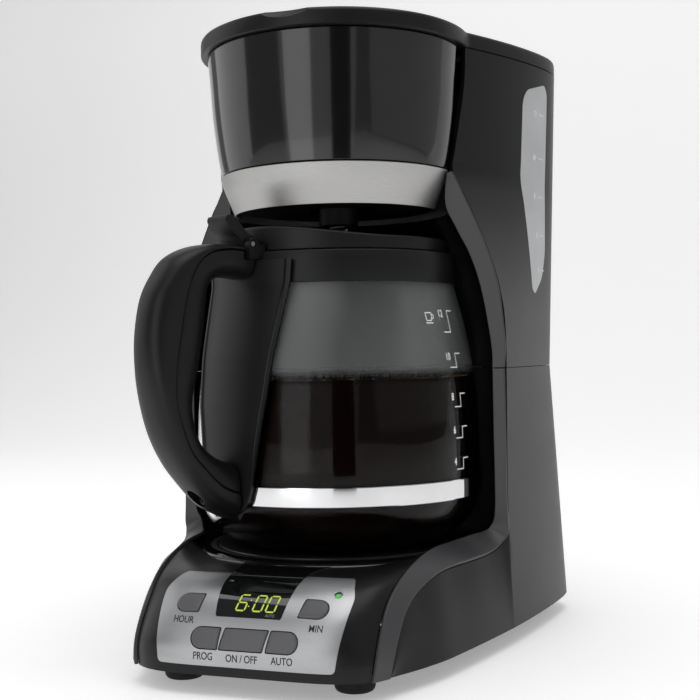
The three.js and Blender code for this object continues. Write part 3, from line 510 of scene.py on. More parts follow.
def shaped(bm):
    """A plain object that holds a bmesh while modifiers work on it."""
    mesh = bpy.data.meshes.new("shape")
    bmesh.ops.recalc_face_normals(bm, faces=bm.faces)
    bm.to_mesh(mesh)
    bm.free()
    return linked("shape", mesh)


def worked(bm, wall=0.0, join=(), trim=(), cut=()):
    """The shape after a wall thickness, joins, trims and cuts. Takes over and uses up every bmesh given."""
    bmesh.ops.remove_doubles(bm, verts=bm.verts, dist=0.002)
    holders = [shaped(bm)]
    if wall:
        walled(holders[0], wall)
    for operation, tools in (("UNION", join), ("INTERSECT", trim), ("DIFFERENCE", cut)):
        for tool in tools:
            holders.append(shaped(tool))
            modifier = holders[0].modifiers.new("work", "BOOLEAN")
            modifier.operation = operation
            modifier.object = holders[-1]
            modifier.solver = "EXACT"
    bpy.context.view_layer.update()
    result = bmesh.new()
    result.from_object(holders[0], bpy.context.evaluated_depsgraph_get())
    for holder in holders:
        mesh = holder.data
        bpy.data.objects.remove(holder)
        bpy.data.meshes.remove(mesh)
    bmesh.ops.dissolve_degenerate(result, edges=result.edges, dist=0.005)
    return result


def prism(outline, low, high):
    """A closed upright prism over an outline of (x, y) points, in its own frame."""
    bm = bmesh.new()
    verts = [bm.verts.new((x, y, low)) for x, y in outline]
    face = bm.faces.new(verts)
    grown = bmesh.ops.extrude_face_region(bm, geom=[face])["geom"]
    top = [item for item in grown if isinstance(item, bmesh.types.BMVert)]
    bmesh.ops.translate(bm, verts=top, vec=(0, 0, high - low))
    return bm


def cylinder(radius, low, high, sides=96):
    """A closed upright cylinder on the jug's axis."""
    bm = bmesh.new()
    place = Matrix.Translation((0, 0, (low + high) / 2))
    bmesh.ops.create_cone(
        bm, cap_ends=True, segments=sides, radius1=radius, radius2=radius, depth=high - low, matrix=place,
    )
    return bm


PANEL_OUTLINE = [(-42.8, 13.6), (42.8, 13.6), (46.9, 43.4), (43.2, 49.2), (-43.2, 49.2), (-46.9, 43.4)]


def eased(outline, radius, steps=5):
    """A closed outline with its corners rounded."""
    line = []
    for i, corner in enumerate(outline):
        line += corner_curve(outline[i - 1], corner, outline[(i + 1) % len(outline)], radius, steps)
    return line


def grown(outline, margin):
    """An outline of (x, y) points moved out from its middle by a margin, each way."""
    middles = [sum(values) / len(outline) for values in zip(*outline)]
    return [[at + math.copysign(margin, at - mid) for at, mid in zip(point, middles)] for point in outline]


def from_front(bm):
    """Lays a shape down, so that its outline is seen from the front and its height runs forward."""
    return about(bm, 90, "X")


def panel_prism(margin):
    """The panel's outline, run back through the slanted front."""
    return from_front(prism(eased(grown(PANEL_OUTLINE, margin), 2.2), 92, 135))


plate_room = cylinder(PLATE_HOLE, 40, 56)
deck = worked(grid(bmesh.new(), 96, 90, deck_point), wall=WALL, cut=[plate_room, panel_prism(0.22)])
deck_black = moulded("deck_black", (0.0065, 0.0065, 0.0068), 0.33, 0.5, 0.008)
put("deck", deck, deck_black, "root", "satin_black", smooth=35)


# ---------------------------------------------------------------- warming plate, its seal and its surround
# The plate is a steel pressing with a dark non-stick coating. A rubber ring seals it to the deck, and a gloss
# black ring is snapped over the joint. Its front edge runs out in a tongue that ends as the clock's window.
low, high = corners("warming_plate")
PLATE_TOP = high.z
PLATE_RADIUS = high.x
plate_line = rounded([
    (PLATE_RADIUS - 1.4, low.z), (PLATE_RADIUS, low.z), (PLATE_RADIUS, PLATE_TOP), (57, PLATE_TOP),
    (55.5, PLATE_TOP - 0.7), (40, PLATE_TOP - 0.7), (38.5, PLATE_TOP - 0.2), (0, PLATE_TOP - 0.2),
], 0.7)


def coated_plate():
    """A dark non-stick coating over a pressing: fine orange peel with rings left by hot jugs."""
    finish = Finish("non_stick_coating", Specular_IOR_Level=0.55)
    radial = finish.node("ShaderNodeVectorMath", {"operation": "MULTIPLY"}, {0: finish.place, 1: (1, 1, 0)})
    distance = finish.node("ShaderNodeVectorMath", {"operation": "LENGTH"}, {0: radial}, "Value")
    wobble = noise(finish, 25, 3)
    rings = finish.node("ShaderNodeMath", {"operation": "SINE"}, {0: (distance + wobble * 0.003) * 900})
    speckle = noise(finish, 0.4, 2)
    finish.set(
        Base_Color=mixed(finish, speckle, (0.008, 0.008, 0.0085), (0.02, 0.019, 0.018)),
        Roughness=rings * 0.035 + wobble * 0.12 + 0.26,
        Normal=bump(finish, speckle, 0.012),
    )
    return finish.material


put("warming_plate_top", turned(plate_line), coated_plate(), "root", "plate_coating", "warming_plate")
low, high = corners("plate_seal")
seal_line = rounded([
    (PLATE_RADIUS + 0.3, low.z), (high.x, low.z), (high.x, high.z - 1), (high.x - 1, high.z),
    (PLATE_RADIUS + 1, high.z), (PLATE_RADIUS + 0.3, high.z - 0.6), (PLATE_RADIUS + 0.3, low.z),
], 0.5)
put("plate_seal_ring", turned(seal_line), black_rubber, "root", "rubber_black", "plate_seal")

SURROUND = [(70.4, 49.4), (70.4, 51.2), (71.2, 51.9), (74.5, 52.0), (77.6, 51.5), (79.6, 50.3), (80.2, 49.0)]
piano_black = gloss("piano_black", (0.004, 0.004, 0.0045), 0.1)
put("plate_surround", turned(through(SURROUND, 4), steps=128), piano_black, "root", "piano_black")


# ---------------------------------------------------------------- silver fascia
# A thin fascia with a silver face brushed across its width, let in flush over the slanted front.
# Rooms for five keys, the window and the lamp are punched through it.
SHEET = 1.2
SHEET_ACROSS, SHEET_FROM, SHEET_SPAN = 0.86, 0.005, 0.55  # shares of the front, cut to the outline later
DISPLAY = [(-15.9, 34.6), (15.9, 34.6), (18.8, 49.6), (-18.8, 49.6)]
KEY_HEIGHT = 9.4
LEAN = 1.2  # how far a key's straight end slants
LOW_TILT, HIGH_TILT = math.radians(72), math.radians(44)
KEYS = {
    "button_program": {"place": (-19.3, -127, 25.6), "width": 13.2, "tilt": LOW_TILT, "round": -1},
    "button_power": {"place": (-0.3, -127, 25.6), "width": 20.8, "tilt": LOW_TILT, "round": 0},
    "button_auto": {"place": (18.9, -127, 25.6), "width": 13.6, "tilt": LOW_TILT, "round": 1},
    "button_hour": {"place": (-31, -118, 39.4), "width": 12, "tilt": HIGH_TILT, "round": -1},
    "button_minute": {"place": (31, -118, 39.4), "width": 12, "tilt": HIGH_TILT, "round": 1},
}


def key_outline(key, margin):
    """A key's outline: an end that faces the fascia's edge is half-round, the others lean."""
    w, h, end = key["width"] / 2 + margin, KEY_HEIGHT / 2 + margin, key["round"]
    if end == 0:
        return eased([(-w - LEAN, -h), (w - LEAN, -h), (w + LEAN, h), (-w + LEAN, h)], 1.0)
    angles = [math.pi * (i / 20 - 0.5) for i in range(21)]
    arc = [(end * (w - h + h * math.cos(angle)), h * math.sin(angle)) for angle in angles]
    if end > 0:
        return eased([(-w + LEAN * 0.6, h), (-w - LEAN, -h)] + arc, 1.0, 4)
    return eased([(w - LEAN * 0.2, -h), (w + LEAN * 0.6, h)] + arc[::-1], 1.0, 4)


def on_panel(bm, key):
    """Stands a flat shape on the panel at a key's place and tilt."""
    x, y, z = key["place"]
    turn = Matrix.Translation((x, y, z)) @ Matrix.Rotation(key["tilt"], 4, "X")
    bmesh.ops.transform(bm, verts=bm.verts, matrix=turn)
    return bm


def front_sheet():
    """A sheet that follows the slanted front."""
    def place(u, v):
        return deck_point(0.5 + SHEET_ACROSS * (u - 0.5), SHEET_FROM + SHEET_SPAN * v)
    return worked(grid(bmesh.new(), 110, 90, place), wall=SHEET)


def display_prism(margin, radius):
    """The window's outline, run back through the slanted front."""
    return from_front(prism(eased(grown(DISPLAY, margin), radius), 90, 135))


lamp_key = {"place": (39.4, -112.2, 46.2), "tilt": HIGH_TILT}
KEY_GAP = 0.45
LAMP_HOLE = 1.9
key_rooms = [on_panel(prism(key_outline(key, KEY_GAP), -7, 6), key) for key in KEYS.values()]
lamp_room = on_panel(cylinder(LAMP_HOLE, -4, 4, sides=40), lamp_key)
rooms = [*key_rooms, lamp_room, display_prism(0.1, 1.2)]
fascia = worked(front_sheet(), trim=[panel_prism(-0.12)], cut=rooms)


def brushed_silver():
    """Silver brushed across: hairlines that run along X, with soft bands in the sheen."""
    finish = Finish("brushed_silver", Metallic=1.0, Anisotropic=0.5)
    drawn = finish.node("ShaderNodeMapping", {}, {"Vector": finish.place, "Scale": (0.012, 1, 1)})
    hairs = noise(finish, 0.16, 3, 0.7, drawn)
    bands = noise(finish, 1.6, 2, 0.5, drawn)
    wash = noise(finish, 30, 2)
    finish.set(
        Base_Color=mixed(finish, hairs * 0.55 + wash * 0.3, (0.30, 0.305, 0.315), (0.60, 0.605, 0.615)),
        Roughness=hairs * 0.16 + bands * 0.08 + 0.27,
        Normal=bump(finish, hairs, 0.012),
    )
    return finish.material


put("silver_fascia", fascia, brushed_silver(), "root", "silver_panel", "control_panel", edge=0.18, steps=2)


# ---------------------------------------------------------------- clock window and its tongue
# One smoked acrylic moulding, polished: the clock's window in the fascia, and above it a black tongue that
# runs over the edge and across the deck to the ring round the plate.
smoked_acrylic = gloss("smoked_acrylic", (0.0035, 0.004, 0.004), 0.03, 0.03)
window = worked(front_sheet(), trim=[display_prism(-0.15, 1.0)])
put("clock_window", window, smoked_acrylic, "root", "smoked_window", "display_window", edge=0.15, steps=2)


TONGUE_FROM, TONGUE_TO = 0.455, 0.6  # shares of the way from the front edge to the bay
TONGUE_HALF, TONGUE_SPREAD = 19.0, 9.0
TONGUE_STANDS = Vector((0, 0, 0.25))


def tongue_point(u, v):
    """Over the panel's upper edge and back to the plate's ring, widening as it goes."""
    share = TONGUE_FROM + (TONGUE_TO - TONGUE_FROM) * v
    half = TONGUE_HALF + TONGUE_SPREAD * v ** 2.2
    return deck_point(0.5 + (u - 0.5) * half / front_line(2, share).x, share) + TONGUE_STANDS


tongue = grid(bmesh.new(), 40, 30, tongue_point)
put("gloss_tongue", tongue, smoked_acrylic, "root", "smoked_window", wall=1.0, edge=0.2)


# ---------------------------------------------------------------- keys
# Five keys in satin grey plastic with pillowed tops, each in its own room in the fascia.
# They ride on rubber springs of the board behind and travel one millimetre.
def skinned(loops):
    """A closed solid skinned over loops of as many points each."""
    bm = bmesh.new()
    rings = []
    for loop in loops:
        verts = [bm.verts.new(point) for point in loop]
        rings.append([bm.edges.new((vert, verts[i - 1])) for i, vert in enumerate(verts)])
    for lower, upper in zip(rings, rings[1:]):
        bmesh.ops.bridge_loops(bm, edges=lower + upper)
    bmesh.ops.holes_fill(bm, edges=rings[0] + rings[-1], sides=0)
    return bm


KEY_LAYERS = [(0.0, -4.2), (0.0, -0.1), (-0.14, 0.22), (-0.45, 0.42), (-1.1, 0.56), (-2.0, 0.62)]
key_grey = moulded("key_grey", (0.105, 0.105, 0.11), 0.34, 0.4, 0.006, 1.12)
for node, key in KEYS.items():
    layers = [[(*point, height) for point in key_outline(key, margin)] for margin, height in KEY_LAYERS]
    body = node.replace("button_", "") + "_button"
    put(f"{node}_cap", on_panel(skinned(layers), key), key_grey, body, "button_grey", node)
key_well = moulded("key_well", (0.004, 0.004, 0.004), 0.6)
for node, key in KEYS.items():
    well = on_panel(prism(key_outline(key, 1.2), -8.0, -5.6), key)
    put(f"{node}_well", well, key_well, "root", "inner_black")


# ---------------------------------------------------------------- printed words, clock digits and lamp
# Plain words for what each key does are screen-printed in black on the silver. The clock's seven-bar digits
# glow yellow-green behind the window, and a small green lens marks the power lamp.
INK_DEPTH = 0.03
ON_FRONT = 0.06  # how far ink and digits stand off the surface they are on


def lettering(words, size, boldness, narrow=0.84):
    """Words as a flat solid, centred, in millimetres, drawn in the XY plane."""
    curve = bpy.data.curves.new("words", "FONT")
    curve.body = words
    curve.size = size
    curve.extrude = INK_DEPTH / 2
    curve.offset = boldness
    curve.align_x, curve.align_y = "CENTER", "CENTER"
    holder = linked("words", curve)
    bpy.context.view_layer.update()
    flat = bpy.data.meshes.new_from_object(holder.evaluated_get(bpy.context.evaluated_depsgraph_get()))
    bm = bmesh.new()
    bm.from_mesh(flat)
    bpy.data.objects.remove(holder)
    bpy.data.curves.remove(curve)
    bpy.data.meshes.remove(flat)
    bmesh.ops.scale(bm, verts=bm.verts, vec=(narrow, 1, 1))
    return bm


def onto_front(bm, x, z, lift=ON_FRONT):
    """Wraps a flat shape onto the slanted front with its middle at x and at height z."""
    def at(across, share):
        return deck_point(0.5 + across / (2 * front_line(2, share).x), share)

    share = min((i / 400 for i in range(401)), key=lambda s: abs(at(x, s).z - z))
    step = 0.006
    climb = at(x, share + step) - at(x, share)
    outward = Vector((1, 0, 0)).cross(climb).normalized()
    for vert in bm.verts:
        flat = at(x + vert.co.x, share + vert.co.y * step / climb.length)
        vert.co = flat + outward * (lift + vert.co.z)
    return bm


def ink(name, shade):
    """Printing ink: worn a little, finely."""
    worn = scaled(shade, 1.5, 0.004)
    return clouded(name, (0.5, 4, 0.7), shade, worn, (0.45, 0.15), Specular_IOR_Level=0.4).material


black_ink = ink("black_ink", (0.006, 0.006, 0.006))
WORDS = {
    "hour": ("HOUR", -31.6, 32.4), "minute": ("MIN", 33.2, 31.6), "program": ("PROG", -19.6, 17.6),
    "power": ("ON / OFF", -0.6, 17.4), "auto": ("AUTO", 18.8, 17.6),
}
for key, (words, x, z) in WORDS.items():
    printed = onto_front(lettering(words, 4.6, 0.045, 0.8), x, z)
    put(f"word_{key}", printed, black_ink, "root", "inner_black", smooth=20)


def bar(bm, start, end, half):
    """One bar of a digit, with pointed ends, as a flat six-sided face."""
    start, end = Vector(start), Vector(end)
    along = (end - start).normalized()
    side = Vector((-along.y, along.x)) * half
    points = [start, start + along * half + side, end - along * half + side, end,
              end - along * half - side, start + along * half - side]
    bm.faces.new([bm.verts.new((point.x, point.y, 0)) for point in points])


DIGIT_WIDTH, DIGIT_HEIGHT = 4.3, 8.4
BAR_HALF = 0.38
SLANT = 0.13


def digit(bm, lit, x):
    """A seven-bar digit: bars are named a to g, clockwise from the top, g in the middle."""
    h, w, gap = DIGIT_HEIGHT / 2, DIGIT_WIDTH, 0.18
    ends = {
        "a": ((gap, 2 * h), (w - gap, 2 * h)), "b": ((w, 2 * h - gap), (w, h + gap)),
        "c": ((w, h - gap), (w, gap)), "d": ((gap, 0), (w - gap, 0)), "e": ((0, h - gap), (0, gap)),
        "f": ((0, 2 * h - gap), (0, h + gap)), "g": ((gap, h), (w - gap, h)),
    }
    for name in lit:
        (x0, y0), (x1, y1) = ends[name]
        bar(bm, (x + x0 + SLANT * y0, y0 - h), (x + x1 + SLANT * y1, y1 - h), BAR_HALF)


def glow(shade):
    """Lit bars, with a faint mottle."""
    finish = Finish("lit_digits", Roughness=0.4, Emission_Strength=0.75)
    mottle = noise(finish, 0.35, 2)
    finish.set(
        Base_Color=mixed(finish, mottle, (0.1, 0.12, 0.02), (0.14, 0.16, 0.03)),
        Emission_Color=mixed(finish, mottle * 0.5, shade, scaled(shade, 0.6)),
    )
    return finish.material


clock = bmesh.new()
digit(clock, "acdefg", -7.6)
digit(clock, "abcdef", 0.6)
digit(clock, "abcdef", 7.0)
for height in (-1.9, 1.5):
    bar(clock, (-1.55 + SLANT * height, height - 0.45), (-1.5 + SLANT * height, height + 0.45), 0.42)
put("clock_digits", onto_front(clock, 0.6, 40.3), glow((0.60, 0.78, 0.06)), "root", "lamp_green")
faint_ink = ink("faint_ink", (0.16, 0.16, 0.16))
for name, words, x, z in (("timer", "AUTO", 10.4, 35.9), ("evening", "PM", -15.2, 47.4)):
    mark = onto_front(lettering(words, 1.9, 0.02), x, z)
    put(f"word_{name}_mark", mark, faint_ink, "root", "silver_panel", smooth=20)

lens_line = rounded([(0, 0.75), (1.0, 0.6), (1.65, 0.05), (1.75, -1.5)], 0.5)
low, high = corners("lamp_lens")
lamp_lens = onto_front(turned(lens_line, steps=40), (low.x + high.x) / 2, (low.z + high.z) / 2, 0.0)
green_lens = clouded(
    "green_lens", (1.3, 2), (0.02, 0.16, 0.03), (0.08, 0.4, 0.1), (0.14, 0.1),
    Coat_Weight=0.6, Emission_Strength=0.35,
)
green_lens.set(Emission_Color=mixed(green_lens, green_lens.cloud, (0.02, 0.2, 0.03), (0.2, 0.75, 0.25)))
put("power_lamp_lens", lamp_lens, green_lens.material, "root", "lamp_green", "lamp_lens")


# ---------------------------------------------------------------- column housing
# The column's outer skin in the base's satin black, from wing to wing round the back, 2.6 mm thick.
# Its front edges are rounded where they meet the strips and the cone, and the right wall is cut for a window.
WINDOW_OUTLINE = [(53, 187), (58, 184), (73, 194), (79, 208), (80.5, 300), (77, 305), (57, 299), (53, 292)]


def from_side(bm):
    """Stands a prism up, so that its outline is seen from the right and its height runs to the left."""
    for vert in bm.verts:
        vert.co = vert.co.zxy
    return bm


def window_prism(margin):
    """The window's outline, run through the right wall."""
    return from_side(prism(eased(grown(WINDOW_OUTLINE, margin), 5.0), 80, 115))


column = worked(rear_skin(bmesh.new(), SEAM_ABOVE, COLUMN_TOP, 60), wall=WALL, cut=[window_prism(0.2)])
put("column_shell", column, satin_black, "root", "satin_black", "column_housing", edge=0.45, smooth=40)


# ---------------------------------------------------------------- water window
# A clear, faintly smoked polystyrene pane, frosted inside, welded into the right wall of the column.
# Cup numbers and level marks are printed on it in white.
def frosted_pane():
    """Frosted clear plastic: cloudy, with light caught in its thickness."""
    finish = Finish("frosted_pane", Transmission_Weight=0.35, IOR=1.49)
    cloud = noise(finish, 22, 3)
    frost = noise(finish, 0.3, 3)
    finish.set(
        Base_Color=mixed(finish, cloud, (0.58, 0.59, 0.6), (0.76, 0.77, 0.78)),
        Roughness=cloud * 0.1 + frost * 0.1 + 0.24,
        Normal=bump(finish, frost, 0.01),
    )
    return finish.material


pane = worked(rear_skin(bmesh.new(), SEAM_ABOVE, COLUMN_TOP, 60), wall=2.0, trim=[window_prism(-0.1)])
put("window_pane", pane, frosted_pane(), "root", "clear_window", "water_window", edge=0.3)


def onto_column(bm, y, z, lift):
    """Lays a flat shape on the right wall of the column, facing out."""
    def wall_x(depth):
        turns = [i / 2000 for i in range(1000, 2001)]
        return min((body_point(t, z) for t in turns), key=lambda point: abs(point.y - depth)).x
    here = Vector((wall_x(y), y, z))
    beside = (Vector((wall_x(y + 3), y + 3, z)) - Vector((wall_x(y - 3), y - 3, z))).normalized()
    upwards = Vector((0, 0, 1))
    outward = beside.cross(upwards)
    turn = Matrix((beside, upwards, outward)).transposed().to_4x4()
    bmesh.ops.transform(bm, verts=bm.verts, matrix=Matrix.Translation(here + outward * lift) @ turn)
    return bm


FIGURES_AT, TICKS_AT = 66, 73.5
white_ink = ink("white_ink", (0.75, 0.75, 0.75))
for number, height in (("12", 287), ("10", 262), ("8", 240), ("6", 218), ("4", 198)):
    figure = onto_column(lettering(number, 4.4, 0.12), FIGURES_AT, height, 0.05)
    put(f"level_{number}", figure, white_ink, "root", "clear_window", smooth=20)
    tick = onto_column(prism([(-3, -0.3), (3, -0.3), (3, 0.3), (-3, 0.3)], 0, 0.05), TICKS_AT, height, 0.03)
    put(f"level_mark_{number}", tick, white_ink, "root", "clear_window", smooth=20)


# ---------------------------------------------------------------- water tank and hoses
# A translucent polypropylene tank fills the column round the brew cone. Silicone hoses carry water from its
# check valve to the heater and, hot, up to the lid.
def translucent(name, shade, roughness):
    """Milky plastic that light goes into."""
    inside = {"Subsurface_Weight": 0.2, "Subsurface_Scale": 0.003}
    darker, dull = scaled(shade, 0.8), (roughness, 0.15)
    return clouded(name, (16, 4), shade, darker, dull, (0.012, 0.8, 2), **inside).material


silicone = translucent("milky_silicone", (0.66, 0.65, 0.61), 0.42)
keep("reservoir_tank", translucent("tank_polypropylene", (0.42, 0.44, 0.45), 0.34))
keep("check_valve", inner_plastic)


def hose(points, outer, inner):
    """A hollow hose: rings of circles along a smooth line, bridged one to the next."""
    line = through(points, 10)
    bm = bmesh.new()
    rings = []
    for i, point in enumerate(line):
        ahead = (line[min(i + 1, len(line) - 1)] - line[max(i - 1, 0)]).normalized()
        place = Matrix.Translation(point) @ ahead.to_track_quat("Z", "Y").to_matrix().to_4x4()
        rings.append([])
        for radius in (outer, inner):
            made = bmesh.ops.create_circle(bm, cap_ends=False, radius=radius, segments=20, matrix=place)
            rings[-1].append(list({edge for vert in made["verts"] for edge in vert.link_edges}))
    for before, after in zip(rings, rings[1:]):
        bmesh.ops.bridge_loops(bm, edges=before[0] + after[0])
        bmesh.ops.bridge_loops(bm, edges=before[1] + after[1])
    for end in (rings[0], rings[-1]):
        bmesh.ops.bridge_loops(bm, edges=end[0] + end[1])
    return bm


COLD = [(-36, 106, 134), (-36, 106, 100), (-36, 105, 60), (-32, 92, 40), (-22, 70, 39.5), (-19.8, 49.5, 39.5)]
HOT = [
    (19.8, 49.5, 39.5), (24, 70, 39.5), (38, 88, 42), (50, 98, 58), (52, 100, 90), (52, 100, 180),
    (52, 100, 308),
]
put("cold_hose", hose(COLD, 5.0, 3.0), silicone, "root", "silicone", "cold_water_hose")
put("hot_hose", hose(HOT, 5.0, 3.2), silicone, "root", "silicone", "hot_water_riser")


# ---------------------------------------------------------------- heater and electronics
# The heater is an aluminium casting round a heating tube and a water tube, held under the plate by a clip.
# The boards are glass-fibre laminate with a green solder mask.
def solder_mask():
    """Green lacquer over woven glass fibre."""
    finish = Finish("solder_mask", Coat_Weight=0.4)
    weave = finish.node("ShaderNodeTexChecker", {}, {"Vector": finish.place, "Scale": 900.0}, "Fac")
    tone = noise(finish, 9, 3)
    finish.set(
        Base_Color=mixed(finish, weave * 0.25 + tone * 0.4, (0.006, 0.06, 0.018), (0.015, 0.11, 0.035)),
        Roughness=tone * 0.15 + 0.25,
    )
    return finish.material


cast_metal = clouded(
    "cast_metal", (1.4, 5, 0.6), (0.33, 0.33, 0.34), (0.52, 0.52, 0.52), (0.4, 0.25), (0.06, 1.4, 5, 0.6),
    Metallic=1.0,
).material
board_mask = solder_mask()
for node, material in (
    ("heater_element", cast_metal), ("heater_clip", screw_steel), ("thermostat", inner_plastic),
    ("thermal_fuse", silicone), ("power_board", board_mask), ("control_board", board_mask),
    ("display_module", smoked_acrylic),
):
    keep(node, material)


# ---------------------------------------------------------------- brew well, basket and drip valve
# The fixed well under the lid is a black polypropylene cone. The basket that hangs in it lifts out, and is
# ribbed inside so that the filter drains. A sprung plunger shuts its outlet when the jug is away.
BREW_AXIS = (0.0, 6.0)
WELL = [
    (16, 230.5), (52, 230.5), (58, 249), (65, 298), (66.2, 300), (66.2, 302), (63.2, 302), (63, 298),
    (56, 249.6), (50.6, 232.5), (16, 232.5), (16, 230.5),
]
BASKET = [
    (8.4, 222), (10.6, 222), (10.6, 233), (44, 234), (54, 250), (61, 296), (62, 302.4), (64.6, 302.6),
    (64.6, 305), (62, 305), (59.2, 296), (52, 250.6), (43, 236), (8.4, 236), (8.4, 222),
]
put("brew_well", turned(rounded(WELL, 1.2), BREW_AXIS), inner_plastic, "root", "inner_black", "brew_housing")
basket = turned(rounded(BASKET, 0.9), BREW_AXIS)
web = turned([(3.6, 226), (9, 226), (9, 228), (3.6, 228), (3.6, 226)], BREW_AXIS, steps=48)
put("filter_basket", basket, inner_plastic, "basket", "inner_black", "brew_basket")
put("basket_outlet_web", web, inner_plastic, "basket", "inner_black")
RIBS = 24
RIB_RADIUS = 0.9
foot, head = Vector((44.5, 0, 238.5)), Vector((58.2, 0, 292))
lean = (head - foot).to_track_quat("Z", "Y").to_matrix().to_4x4()
for number in range(RIBS):
    rib = bmesh.new()
    bmesh.ops.create_cone(
        rib, cap_ends=True, segments=10, radius1=RIB_RADIUS, radius2=RIB_RADIUS, depth=(head - foot).length,
        matrix=Matrix.Translation((foot + head) / 2) @ lean,
    )
    about(rib, 360 * number / RIBS, "Z")
    bmesh.ops.translate(rib, verts=rib.verts, vec=(*BREW_AXIS, 0))
    put(f"basket_rib_{number + 1}", rib, inner_plastic, "basket", "inner_black")
PLUNGER = [
    (0, 215.8), (4, 215.8), (6.4, 217.4), (6.4, 219), (2.6, 219), (2.6, 236.6), (10, 237), (10, 238.6),
    (0, 240),
]
plunger = turned(rounded(PLUNGER, 0.5), BREW_AXIS, steps=48)
put("valve_stem", plunger, inner_plastic, "valve", "inner_black", "valve_plunger")
COIL_TURNS, COIL_STEPS, COIL_RISE = 3, 120, 5.0
COIL_RADIUS, COIL_FOOT, COIL_WIRE = 4.6, 220.1, 0.5
coil = bmesh.new()
wire_start = Matrix.Translation((COIL_RADIUS, BREW_AXIS[1], COIL_FOOT))
wire_end = wire_start @ Matrix.Rotation(math.radians(90), 4, "X")
bmesh.ops.create_circle(coil, cap_ends=True, radius=COIL_WIRE, segments=14, matrix=wire_end)
bmesh.ops.spin(
    coil, geom=coil.verts[:] + coil.edges[:] + coil.faces[:], cent=(*BREW_AXIS, 0), axis=(0, 0, 1),
    dvec=(0, 0, COIL_RISE / COIL_STEPS), angle=math.tau * COIL_TURNS, steps=COIL_STEPS,
)
spring = put("valve_coil", coil, screw_steel, "basket", "plated_steel", "valve_spring")
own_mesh(spring)


# ---------------------------------------------------------------- brew cone and its steel band
# The cone's front is a high-gloss black ABS shell. Under it a stainless strip, brushed round the cone,
# is folded over the lower edge.
CONE = [(63.2, 248.9), (65.2, 260), (67.6, 280), (69, 300), (70, COLUMN_TOP)]
BAND = [(55.6, 228.3), (58, 234.5), (60.8, 241.5), (63.1, 248.4)]
FRONT_HALF = {"centre": BREW_AXIS, "start": 184.9, "sweep": 170.2}
cone = turned(through(CONE, 8), steps=120, **FRONT_HALF)
put("cone_front", cone, piano_black, "root", "piano_black", "brew_cone_shell", wall=2.4, edge=0.5, smooth=60)


def brushed_round():
    """Stainless brushed round an upright axis: hairlines lie along the angle, and change with height."""
    finish = Finish("steel_brushed_round", Metallic=1.0, Anisotropic=0.6)
    x, y, z = (finish.node("ShaderNodeSeparateXYZ", {}, {0: finish.place}, axis) for axis in "XYZ")
    angle = finish.node("ShaderNodeMath", {"operation": "ARCTAN2"}, {0: x, 1: BREW_AXIS[1] * MM - y})
    drawn = finish.node("ShaderNodeCombineXYZ", {}, {0: angle * 0.0012, 1: z, 2: 0.0})
    hairs = noise(finish, 0.14, 3, 0.7, drawn)
    bands = noise(finish, 1.2, 2, 0.5, drawn)
    finish.set(
        Base_Color=mixed(finish, hairs, (0.30, 0.297, 0.29), (0.56, 0.555, 0.545)),
        Roughness=hairs * 0.18 + bands * 0.08 + 0.24,
        Normal=bump(finish, hairs, 0.012),
    )
    return finish.material


band = turned(through(BAND, 6), steps=120, **FRONT_HALF)
put(
    "steel_band", band, brushed_round(), "root", "brushed_steel", "cone_steel_band",
    wall=1.0, edge=0.25, smooth=60,
)


# ---------------------------------------------------------------- top rim and hinge pin
# A flat black rim closes the column under the lid, with rooms for the basket, for filling the tank and for
# the hot hose. Two lugs at its rear carry the lid on a plated steel pin.
HINGE = Vector((0, 122, 318.6))


def rod(line, radius, x0, x1, sides=40):
    """A round bar along X, through a point of its line."""
    bm = about(cylinder(radius, x0, x1, sides), 90, "Y")
    bmesh.ops.translate(bm, verts=bm.verts, vec=line)
    return bm


keep("top_rim", inner_plastic)
low, high = corners("lid_hinge_pin")
pin = rod(HINGE, 1.6, low.x, high.x, 32)
put("hinge_pin", pin, screw_steel, "root", "plated_steel", "lid_hinge_pin", edge=0.3)


# ---------------------------------------------------------------- lid
# One satin black moulding covers the brew cone and the tank, rounded along its top edge, with a crescent
# pressed into the front for a fingertip. Its rear edge is the hinge's barrel, open where the lugs stand.
LID_LOW = corners("lid")[0].z
LOBE = 73.6
LID_EDGE = [(0.9, 0.0), (0.15, 0.5), (0.0, 1.2), (0.0, 6.4), (0.25, 7.5), (0.9, 8.3), (1.9, 8.8)]
REAR_STEPS, LOBE_STEPS = 150, 96


def lid_outline():
    """The body's plan joined to the cone's round front, as a closed outline."""
    rear = [body_point(2 * i / REAR_STEPS - 1, COLUMN_TOP - 0.01).xy for i in range(REAR_STEPS + 1)]
    middle = Vector(BREW_AXIS)
    kept = [point for point in rear if math.hypot(*(point - middle)) > LOBE]
    first = math.atan2(kept[-1].y - middle.y, kept[-1].x)
    last = math.atan2(kept[0].y - middle.y, kept[0].x) - math.tau
    angles = [first + (last - first) * i / LOBE_STEPS for i in range(1, LOBE_STEPS)]
    return kept + [Vector((LOBE * math.cos(angle), middle.y + LOBE * math.sin(angle))) for angle in angles]


def lid_solid():
    """The lid's full block, drawn in at each height as its rounded edge says."""
    outline = lid_outline()
    loops = []
    for inset, rise in LID_EDGE:
        loops.append([])
        for i, point in enumerate(outline):
            ahead = outline[(i + 1) % len(outline)] - outline[i - 1]
            inward = Vector((-ahead.y, ahead.x)).normalized()
            if inward.dot(Vector((0, 40)) - point) < 0:
                inward = -inward
            loops[-1].append((*(point + inward * inset), LID_LOW + rise))
    return skinned(loops)


def block(x0, x1, y0, y1, z0, z1):
    """A plain block between two corners."""
    bm = bmesh.new()
    place = Matrix.Translation(((x0 + x1) / 2, (y0 + y1) / 2, (z0 + z1) / 2))
    size = Matrix.Diagonal((x1 - x0, y1 - y0, z1 - z0, 1))
    bmesh.ops.create_cube(bm, size=1, matrix=place @ size)
    return bm


